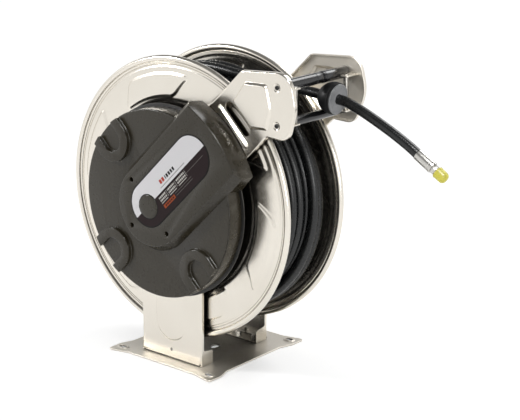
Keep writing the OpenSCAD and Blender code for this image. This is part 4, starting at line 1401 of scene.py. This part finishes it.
@dataclass
class GuideArm:
    """A guide arm: pressed sheet with a turned rim, a raised panel, a grip slot and roller lugs."""

    wardrobe: Wardrobe
    side: Side
    sheet: float = 3.0
    rim: float = 10.0
    rim_from: float = 240.0
    rim_ease: float = 10.0
    upper: float = 78.0
    lower: float = -59.0
    bulge: float = 46.0
    crown: Pair = (-91.0, 23.0)
    lip: Quad = (250.0, 263.2, -38.4, 55.4)
    grip: Quad = (265.0, 288.5, -17.5, 41.5)
    panel_rise: float = 5.6
    lug_x: float = 308.0
    lug_y: Pair = (205.5, 277.0)
    lug_in: float = 75.0
    lug_half: float = 9.0

    @staticmethod
    def uv(u: float, v: float, r: float = 0.0) -> Point:
        """Give a corner at u along the arm's direction and v square to it."""
        s = math.sqrt(0.5)
        return ((u - v) * s, (u + v) * s, r)

    @staticmethod
    def rollers() -> list[Pair]:
        """List the places of the lower and the upper roller's axis.

        Returns:
            Places in the side's frame.
        """
        places = []
        for node in ("lower_roller", "upper_roller_near"):
            low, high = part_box(node)
            middle = (low + high) / 2 / MM - AXIS
            places.append((middle.x, middle.z))
        return places

    def corners(self) -> list[Point]:
        """List the corners of the sheet.

        Returns:
            Corners as x, y and radius.
        """
        low, top = self.rollers()
        return [self.uv(0, self.upper, 0.6), self.uv(0, self.lower, 0.6),
                self.uv(self.grip[1] + 22, self.lower, 10), (low[0] + 29.5, low[1] - 28.5, 26),
                (low[0] + self.bulge, low[1] + 41.5, 70),
                (top[0] + self.bulge - 17, top[1] + 9.5 + self.crown[1], 38),
                (top[0] + self.crown[0], top[1] + self.crown[1], 14)]

    def presses(self) -> list[Press]:
        """List the forms pressed into the sheet.

        Returns:
            The panel, the lip, the grip slot and two dimples.
        """
        low, top = self.rollers()
        u0, u1, v0, v1 = self.grip
        panel = [self.uv(u1 + 3, v0 - 6, 6), (low[0] - 20.5, low[1] - 12.5, 10),
                 (low[0] - 9.5, low[1] + 31.5, 60), (top[0] - 22.5, top[1] + 5, 12),
                 (top[0] - 80.5, top[1] + 3, 12), self.uv(u1 + 3, v1 + 4, 8)]
        radius = (u1 - u0) / 2
        lip_u0, lip_u1, lip_v0, lip_v1 = self.lip
        lip_r, lip_u = (lip_u1 - lip_u0) / 2, (lip_u0 + lip_u1) / 2
        lip = stadium(self.uv(lip_u, lip_v0)[:2], self.uv(lip_u, lip_v1)[:2], lip_r)
        grip = stadium(self.uv(u0 + radius, v0)[:2], self.uv(u0 + radius, v1)[:2], radius)
        dimples = [Press(disc_corners(*p, 9.5), -1.6, 3.0) for p in (low, top)]
        return [Press(panel, self.panel_rise, 6.5), Press(lip, 5.6, 4.4), Press(grip, hole=True), *dimples]

    def depth(self, point: Vector) -> float:
        """Give how far the rim is turned back at a point of the outline."""
        u = (point.x + point.y) * math.sqrt(0.5)
        return self.sheet + (self.rim - self.sheet) * smooth((u - self.rim_from) / self.rim_ease)

    def build(self) -> None:
        """Make the arm and its lugs."""
        shape = Shape(reel_frame(self.side))
        Sheet(self.corners(), self.sheet, ARM_OUT, self.depth, 3.4, self.presses(), spacing=6.0).add_to(shape)
        x0, x1, seat = self.lug_x - self.lug_half, self.lug_x + self.lug_half, PEDESTAL_OUT + 0.2
        lug = rounded([(x0, self.lug_in, 3), (x1, self.lug_in, 3), (x1, seat, 0.5), (x0, seat, 0.5)], 4)
        for y in self.lug_y:
            plate = Shape()
            plate.block(lug, -y - self.sheet, -y, 0.5)
            plate.mesh.transform(Matrix(((1, 0, 0, 0), (0, 0, -1, 0), (0, 1, 0, 0), (0, 0, 0, 1))))
            data = bpy.data.meshes.new("lug")
            plate.mesh.to_mesh(data)
            shape.mesh.from_mesh(data)
            bpy.data.meshes.remove(data)
        name = f"{self.side.value}_arm"
        self.wardrobe.enlist(shape.finish(f"{name}_pressed"), Slot.SHEET, "root", name,
                             material=self.wardrobe.satin if self.side is Side.FAR else None)


# ---- rollers and stop

@dataclass
class Guide:
    """Rollers of the hose guide and the ball stop on the hose."""

    wardrobe: Wardrobe
    hose: Hose
    bore: float = 6.1
    pin_bore: float = 3.1
    sleeve: float = 2.0
    stop_r: float = 33.0
    face: float = 10.0
    gap: float = 0.25
    half_steps: int = 40

    def roller(self, node: str, slot: Slot, axis: int, grooves: Sequence[float] = (),
               skin: float = 0.0) -> None:
        """Turn one roller from its CAD box.

        Args:
            node: The CAD node.
            slot: Its material slot.
            axis: The world axis that it turns about, 1 for Y or 2 for Z.
            grooves: Places of turned grooves, from its lower end.
            skin: Thickness of the sleeve over the CAD radius.
        """
        low, high = (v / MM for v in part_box(node))
        centre = (low + high) / 2
        radius, half = (high.x - low.x) / 2 + skin, (high[axis] - low[axis]) / 2
        place = Matrix.Translation(centre)
        if axis == 1:
            place = place @ Matrix.Rotation(-math.pi / 2, 4, "X")
        bore = self.bore if axis == 1 else self.pin_bore
        end = [(bore, 0), (radius - 1.4, 0), (radius - 0.4, 0.4), (radius, 1.4)]
        section = [(r, z - half) for r, z in end]
        for g in grooves:
            section += [(radius, g - half), (radius - 0.7, g - half + 0.5), (radius - 0.7, g - half + 1.6),
                        (radius, g - half + 2.1)]
        section += [(r, half - z) for r, z in reversed(end)]
        shape = Shape(place)
        shape.lathe(section, 64, closed=True)
        body = node if node in frame["bodies"] else "root"
        self.wardrobe.enlist(shape.finish(f"{node}_turned", 40), slot, body, node)

    def stop(self) -> None:
        """Make the two halves of the ball and its face plate."""
        place = aimed(self.hose.stop, self.hose.out)
        radius, rim, hole = self.stop_r, self.stop_r - 2, self.hose.diameter / 2 + 0.3
        first = math.asin(hole / radius)
        section = [(hole, -math.sqrt(radius ** 2 - hole ** 2))]
        for k in range(1, 17):
            a = first + (math.pi / 2 - first) * k / 16
            up, out = polar(radius, a)
            section.append((out, -up))
        section += [(radius, 3.2), (radius - 0.7, 3.9), (radius - 0.7, 4.9), (radius, 5.6), (radius, 7.2),
                    (radius - 0.6, 9), (rim, self.face), (hole, self.face)]
        for name, start, shift in (("stop_half_near", 180, -self.gap), ("stop_half_far", 0, self.gap)):
            shape = Shape(place)
            angles = [math.radians(start + 180 * k / self.half_steps) for k in range(self.half_steps + 1)]
            shape.loft([shape.ring((r * math.cos(a), r * math.sin(a) + shift, z) for r, z in section)
                        for a in angles], caps=True)
            self.wardrobe.enlist(shape.finish(f"{name}_moulded", 35), Slot.STOP, "root", name)
        plate = Shape(place)
        plate.lathe([(hole, 10), (rim, 10), (rim, 11.4), (rim - 0.5, 12.2), (rim - 1.4, 12.5),
                     (rim - 2.6, 12.3), (rim - 3.6, 11.2), (rim - 4.4, 10.9), (hole + 4, 10.9),
                     (hole + 3, 11.2), (hole + 2.2, 12.1), (hole + 1.2, 12.4), (hole, 12.2)], 96, closed=True)
        self.wardrobe.enlist(plate.finish("stop_face_plate", 40), Slot.STOP_FACE, "root", "stop_plate")

    def build(self) -> None:
        """Make every roller and the stop."""
        self.roller("upper_roller_near", Slot.ROLLER, 1, (6, 112), self.sleeve)
        self.roller("upper_roller_far", Slot.ROLLER, 1, (6,), self.sleeve - 0.6)
        self.roller("roller_collar", Slot.ROLLER, 1, skin=self.sleeve - 0.8)
        self.roller("lower_roller", Slot.ROLLER, 1, (6, 208))
        for node in ("upright_roller_near", "upright_roller_far"):
            self.roller(node, Slot.TURNED, 2)
        self.stop()


# ---- covers

@dataclass
class Covers:
    """Spring can, spring cover, arm cover, name panel and hub plug."""

    wardrobe: Wardrobe
    panel_r: float = 49.0
    plug_r: float = 25.4
    end_lean: float = 8.0
    end_r: float = 243.0

    def panel(self) -> None:
        """Make the name panel, a film on a thin plate that covers its hollow in the arm cover."""
        ends = [GuideArm.uv(u, PANEL.lift)[:2] for u in (PANEL.start, PANEL.length)]
        shape = Shape(reel_frame(Side.NEAR))
        shape.block(rounded(stadium(*ends, self.panel_r), 24), HOOD_FRONT - 0.2, HOOD_FRONT + 0.6, 0.3)
        self.wardrobe.enlist(shape.finish("name_panel_film"), Slot.PANEL, "root", "name_panel")

    def plug(self) -> None:
        """Turn the round plug on the axis."""
        r, z = self.plug_r, HOOD_FRONT
        shape = Shape(reel_frame(Side.NEAR))
        shape.lathe([(0, z - 7), (r - 4, z - 7), (r - 1.5, z - 1), (r, z - 1), (r, z + 0.6),
                     (r - 0.4, z + 1.3), (r - 1.4, z + 1.8), (r - 5, z + 2.1), (r - 12, z + 2.4),
                     (0, z + 2.6)], 96)
        self.wardrobe.enlist(shape.finish("hub_plug_moulded", 40), Slot.COVER, "root", "hub_plug")

    def lean_end(self, cover: Object) -> None:
        """Lean the arm cover's end wall in towards the arm.

        Args:
            cover: The arm cover's piece.
        """
        for vertex in cover.data.vertices:
            across, up = vertex.co.x / MM - AXIS.x, vertex.co.z / MM - AXIS.z
            reach = math.hypot(across, up)
            if reach > self.end_r:
                height = (AXIS.y - vertex.co.y / MM - ARM_OUT) / (HOOD_FRONT - ARM_OUT)
                scale = 1 - self.end_lean * (1 - height) / reach
                vertex.co.x = (AXIS.x + across * scale) * MM
                vertex.co.z = (AXIS.z + up * scale) * MM

    def build(self) -> None:
        """Make the covers."""
        for node, slot, width, clamp in (("spring_cover", Slot.COVER, 1.8, False),
                                         ("arm_cover", Slot.COVER, 1.6, False),
                                         ("spring_can", Slot.BLACK_STEEL, 0.6, True)):
            cover = eased_copy(node, width, 3, clamp)
            if node == "arm_cover":
                self.lean_end(cover)
            self.wardrobe.enlist(cover, slot, "root", node)
        self.panel()
        self.plug()


# ---- fasteners

@dataclass
class Fasteners:
    """Bolts, nuts and screws, set on their seats as copies of a few templates."""

    wardrobe: Wardrobe
    scatter: Tree
    head_r: float = 6.5
    head_h: float = 5.5
    head_sides: int = 24
    shank_r: float = 4.0
    turn: float = 1.0
    foot_x: Quad = (-62.0, -16.0, 16.0, 62.0)
    foot_in: float = 19.0
    foot_z: float = 7.0
    hub_r: float = 48.0
    hub_levels: Pair = (91.0, 85.0)
    drum_r: float = 138.0
    drum_levels: Pair = (85.0, 85.0)
    drum_backs: Pair = (73.7, 73.7)
    bearing_r: float = 47.0
    bearing_backs: Pair = (97.3, 97.3)
    bearing_start: float = 45.0
    hood_r: float = 70.0
    roller_sink: float = 1.6

    def hexagon(self) -> Shape:
        """Shape a chamfered hex head that stands on Z 0.

        Returns:
            The shape, still open to more.
        """
        shape = Shape()
        flat = self.head_r * math.cos(math.pi / 6)
        reach = []
        for k in range(self.head_sides):
            a = 360 * k / self.head_sides
            reach.append((math.radians(a), flat / math.cos(math.radians((a + 30) % 60 - 30))))
        top = flat * 0.93
        rings = [
            [(r, 0.0) for _, r in reach],
            [(r, 0.6) for _, r in reach],
            [(r, self.head_h - (r - top) * 0.6) for _, r in reach],
            [(top, self.head_h)] * self.head_sides,
        ]
        shape.loft([shape.ring((*polar(r, a), z) for (a, _), (r, z) in zip(reach, ring)) for ring in rings],
                   caps=True)
        return shape

    def bolt(self, through: float = 0.0) -> Object:
        """Make a hex bolt with a shank under its head.

        Args:
            through: Length of the shank.

        Returns:
            The template.
        """
        shape, shank = self.hexagon(), self.shank_r
        if through:
            shape.lathe([(0, 0.2), (shank, 0.2), (shank, -through + 0.8), (shank - 0.8, -through),
                         (0, -through)], 20)
        return shape.finish("bolt_template")

    def socket_screw(self, head: float, height: float, shank: float, length: float) -> Object:
        """Make a round-headed screw with a hex socket.

        Args:
            head: Radius of the head.
            height: Height of the head.
            shank: Radius of the shank.
            length: Length of the shank.

        Returns:
            The template.
        """
        shape = Shape()
        key = head * 0.5
        shape.lathe([(0, -length), (shank, -length), (shank, 0), (head, 0), (head, height * 0.45),
                     (head * 0.93, height * 0.75), (head * 0.75, height * 0.95), (key * 1.15, height),
                     (key, height), (key, height * 0.35), (0, height * 0.3)], 24)
        return shape.finish("screw_template", 40)

    def set_out(self, name: str, template: Object, seats: Sequence[Seat], slot: Slot, body: str,
                node: str) -> None:
        """Set a template on its seats.

        Args:
            name: Name of the piece.
            template: The bolt or screw.
            seats: Points and directions of the heads.
            slot: The material slot.
            body: The body that carries them.
            node: The CAD node that they replace.
        """
        places, ways = zip(*seats)
        piece = self.scatter.run(name, places, [], {
            "Template": template, "Turn": self.turn, "Seed": len(name),
            "Finish": self.wardrobe.materials[slot]}, ways)
        self.wardrobe.enlist(piece, slot, body, node)

    @staticmethod
    def seat(side: Side, x: float, y: float, level: float) -> Seat:
        """Give a seat at a place in the side's frame, looking outwards."""
        place = reel_frame(side)
        return place @ Vector((x, y, level)), place.to_3x3() @ Vector((0, 0, 1))

    def circle(self, side: Side, r: float, count: int, level: float, start: float = 0.0) -> list[Seat]:
        """List even seats on a circle about the reel's axis.

        Args:
            side: The side that they look to.
            r: Radius of the circle.
            count: Number of seats.
            level: Their distance from the reel's middle.
            start: Angle of the first, in degrees.

        Returns:
            The seats in order.
        """
        angles = [math.radians(start + 360 * k / count) for k in range(count)]
        return [self.seat(side, *polar(r, a), level) for a in angles]

    def both(self, r: float, count: int, levels: Pair, start: float = 0.0) -> list[Seat]:
        """List even seats on a circle on each side, at the level of that side."""
        return [seat for side, level in zip(Side, levels)
                for seat in self.circle(side, r, count, level, start)]

    def build(self) -> None:
        """Set out every fastener."""
        long_bolt, nut = self.bolt(13.0), self.bolt()
        feet = [(Vector((x, AXIS.y + s * (PEDESTAL_OUT - self.foot_in), self.foot_z)), Vector((0, 0, 1)))
                for s in (-1, 1) for x in self.foot_x]
        hub = self.both(self.hub_r, 6, self.hub_levels)
        drum = self.both(self.drum_r, 6, self.drum_levels)
        drum_backs = self.both(self.drum_r, 6, self.drum_backs)
        bearing = self.both(self.bearing_r, 4, (ARM_OUT + 3, ARM_OUT), self.bearing_start)
        bearing_backs = self.both(self.bearing_r, 4, self.bearing_backs, self.bearing_start)
        arms = [self.seat(side, *place, ARM_OUT - self.roller_sink)
                for side in Side for place in GuideArm.rollers()]
        hood = self.circle(Side.NEAR, self.hood_r, 4, COVER_FRONT + 5, 135)[:3]
        button, socket = self.socket_screw(4.8, 2.4, 4.0, 14.0), self.socket_screw(4.7, 3.5, 2.5, 8.0)
        zinc, black = Slot.ZINC, Slot.BLACK_SCREW
        for name, template, seats, slot, body, node in (
                ("foot_bolts", self.bolt(6.6), feet, zinc, "root", "pedestal_bolts"),
                ("hub_hex_bolts", long_bolt, hub, zinc, "reel", "hub_bolts"),
                ("drum_hex_bolts", self.bolt(11.0), drum, zinc, "reel", "drum_bolts"),
                ("drum_hex_nuts", nut, drum_backs, zinc, "reel", "drum_nuts"),
                ("bearing_hex_bolts", long_bolt, bearing, zinc, "root", "bearing_bolts"),
                ("bearing_hex_nuts", nut, bearing_backs, zinc, "root", "bearing_nuts"),
                ("roller_socket_screws", button, arms, black, "root", "roller_bolts"),
                ("arm_cover_socket_screws", socket, hood, black, "root", "arm_cover_screws")):
            self.set_out(name, template, seats, slot, body, node)
        for template in [o for o in bpy.data.objects if "_template" in o.name]:
            bpy.data.objects.remove(template)


# ---- inner works

@dataclass
class Works:
    """Shaft, bearings, latch, spring motor and water swivel: machined and cast pieces."""

    wardrobe: Wardrobe

    def build(self) -> None:
        """Round the edges of the pieces that show, and dress those that lie inside."""
        eased = {
            "near_bearing_flange": (Slot.CAST, 0.8), "far_bearing_flange": (Slot.CAST, 0.8),
            "latch_ring": (Slot.TURNED, 0.4), "pawl": (Slot.TURNED, 0.4),
            "swivel_body": (Slot.BRASS, 1.0), "inlet_fitting": (Slot.BRASS, 0.6),
            "far_hub": (Slot.CAST, 0.8), "near_hub": (Slot.CAST, 0.8),
        }
        bodies = frame["record"]["behaviour"]["bodies"]
        for node, (slot, width) in eased.items():
            body = next(b for b, nodes in bodies.items() if node in nodes)
            self.wardrobe.enlist(eased_copy(node, width), slot, body, node)
        plain = {
            Slot.BLACK_STEEL: ("drum",), Slot.BRONZE: ("near_bush", "far_bush"),
            Slot.BRASS: ("riser_pipe",), Slot.SPRING: ("mainspring",), Slot.SEAL: ("swivel_seals",),
            Slot.TURNED: ("shaft", "shaft_circlips", "upper_shaft", "lower_shaft", "spring_arbor",
                          "pawl_spring"),
            Slot.ZINC: ("pawl_pin", "upright_pins", "cover_screws", "stop_screws"),
        }
        for slot, nodes in plain.items():
            for node in nodes:
                self.wardrobe.dress(frame["nodes"][node], slot)


# ---- studio

@dataclass
class Studio:
    """Camera, pale floor and soft light."""

    azimuth: float = 39.3627
    elevation: float = 16.3293
    roll: float = 0.4886
    eye: Triple = (2128.11, -2411.11, 1256.26)
    lens: float = 106.65
    around: float = 0.38
    ceiling: float = 0.18
    floor_half: float = 9000.0
    floor_z: float = -0.4
    fade: Pair = (0.4, 2.6)
    glow: float = 0.44
    target: Triple = (0, 0, 0.35)
    lamps: tuple = (("key", (-2.6, -1.95, 2.1), 0.6, 58, True), ("fill", (3.0, -1.4, 0.9), 1.2, 24, True),
                    ("rear", (0.4, 2.4, 2.8), 1.6, 42, True), ("glint", (1.7, -1.05, 3.1), 0.6, 130, False))

    def camera(self) -> None:
        """Set the camera."""
        a, e, r = (math.radians(v) for v in (self.azimuth, self.elevation, self.roll))
        back = Vector((math.sin(a) * math.cos(e), -math.cos(a) * math.cos(e), math.sin(e)))
        level = Vector((math.cos(a), math.sin(a), 0))
        upright = back.cross(level)
        right = level * math.cos(r) + upright * math.sin(r)
        up = upright * math.cos(r) - level * math.sin(r)
        data = bpy.data.cameras.new("camera")
        data.lens = self.lens
        data.clip_start, data.clip_end = 0.1, 100
        camera = put_in_scene("camera", data)
        turned = Matrix((right, up, back)).transposed().to_4x4()
        camera.matrix_world = Matrix.Translation(Vector(self.eye) * MM) @ turned
        bpy.context.scene.camera = camera

    @staticmethod
    def seen(tree: NodeTree) -> Socket:
        """Say whether a ray comes from the camera, a reflection or a transmission.

        Args:
            tree: The node tree of a material or the world.

        Returns:
            1 where it does, and 0 elsewhere.
        """
        path = shade(tree, "LightPath")
        first = shade(tree, "Math", {
            0: path["Is Camera Ray"], 1: path["Is Glossy Ray"]}, operation="MAXIMUM")
        return shade(tree, "Math", {0: first[0], 1: path["Is Transmission Ray"]}, operation="MAXIMUM")[0]

    def surroundings(self) -> None:
        """Set a white surround that lights the object at a plain level."""
        world = bpy.data.worlds.new("surround")
        world.use_nodes = True
        tree = world.node_tree
        way = shade(tree, "SeparateXYZ", {0: shade(tree, "TexCoord")["Generated"]})
        ceiling = shade(tree, "MapRange", {
            0: way["Z"], 1: 0.25, 2: 0.65, 3: 1.0, 4: self.ceiling}, interpolation_type="SMOOTHSTEP")
        camera = shade(tree, "LightPath")["Is Camera Ray"]
        mirrored = shade(tree, "Mix", {0: camera, 2: ceiling[0], 3: 1.0})
        strength = shade(tree, "Mix", {0: self.seen(tree), 2: self.around, 3: mirrored[0]})
        feed(tree.nodes["Background"], {0: (1, 1, 1, 1), 1: strength[0]})
        bpy.context.scene.world = world

    def floor(self) -> None:
        """Lay a pale floor that keeps the reel's shadow."""
        shape = Shape()
        reach = self.floor_half
        shape.mesh.faces.new(shape.ring((x, y, self.floor_z) for x, y in (
            (-reach, -reach), (reach, -reach), (reach, reach), (-reach, reach))))
        floor = shape.finish("studio_floor")
        material = bpy.data.materials.new("pale_floor")
        material.use_nodes = True
        tree = material.node_tree
        far = shade(tree, "VectorMath", {0: shade(tree, "TexCoord")["Object"]}, operation="LENGTH")["Value"]
        away = shade(tree, "MapRange", {
            0: far, 1: self.fade[0], 2: self.fade[1]}, interpolation_type="SMOOTHSTEP")
        pale = shade(tree, "Mix", {
            0: away[0], 6: linear("#efefef"), 7: linear("#000000")}, data_type="RGBA")
        level = shade(tree, "MapRange", {0: away[0], 3: self.glow, 4: 1.0})
        glow = shade(tree, "Math", {0: self.seen(tree), 1: level[0]}, operation="MULTIPLY")
        feed(tree.nodes["Principled BSDF"], {
            "Base Color": pale[2], "Roughness": 0.9, "Emission Color": (1, 1, 1, 1),
            "Emission Strength": glow[0]})
        floor.data.materials.append(material)

    def lamp(self, name: str, place: Point, size: float, power: float, diffuse: bool) -> None:
        """Hang a soft lamp that looks at the reel.

        Args:
            name: The lamp's name.
            place: Where it hangs, in metres.
            size: Its side, in metres.
            power: Its power, in watts.
            diffuse: Whether it lights surfaces, or only shines in their gloss.
        """
        data = bpy.data.lights.new(name, "AREA")
        data.shape, data.size, data.energy = "SQUARE", size, power
        lamp = put_in_scene(name, data)
        lamp.location = place
        lamp.rotation_euler = (Vector(self.target) - Vector(place)).to_track_quat("-Z", "Y").to_euler()
        lamp.visible_diffuse = diffuse

    def build(self) -> None:
        """Set up the whole studio."""
        bpy.context.scene.view_settings.view_transform = "Standard"
        self.camera()
        self.surroundings()
        self.floor()
        for lamp in self.lamps:
            self.lamp(*lamp)


def main() -> None:
    """Build the studio and every sub-assembly in order."""
    logging.basicConfig(level=logging.INFO, format="%(name)s: %(message)s")
    wardrobe = Wardrobe(FINISHES)
    hose = Hose(wardrobe, tube_tree())
    hose.build()
    parts = [SideDisc(wardrobe, side) for side in Side] + [Stand(wardrobe)]
    parts += [GuideArm(wardrobe, Side.NEAR), GuideArm(wardrobe, Side.FAR, bulge=56.5, crown=(-86.0, 27.0))]
    parts += [Guide(wardrobe, hose), Covers(wardrobe), Fasteners(wardrobe, scatter_tree()), Works(wardrobe)]
    for part in parts:
        part.build()
    Studio().build()


if __name__ == "__main__":
    main()
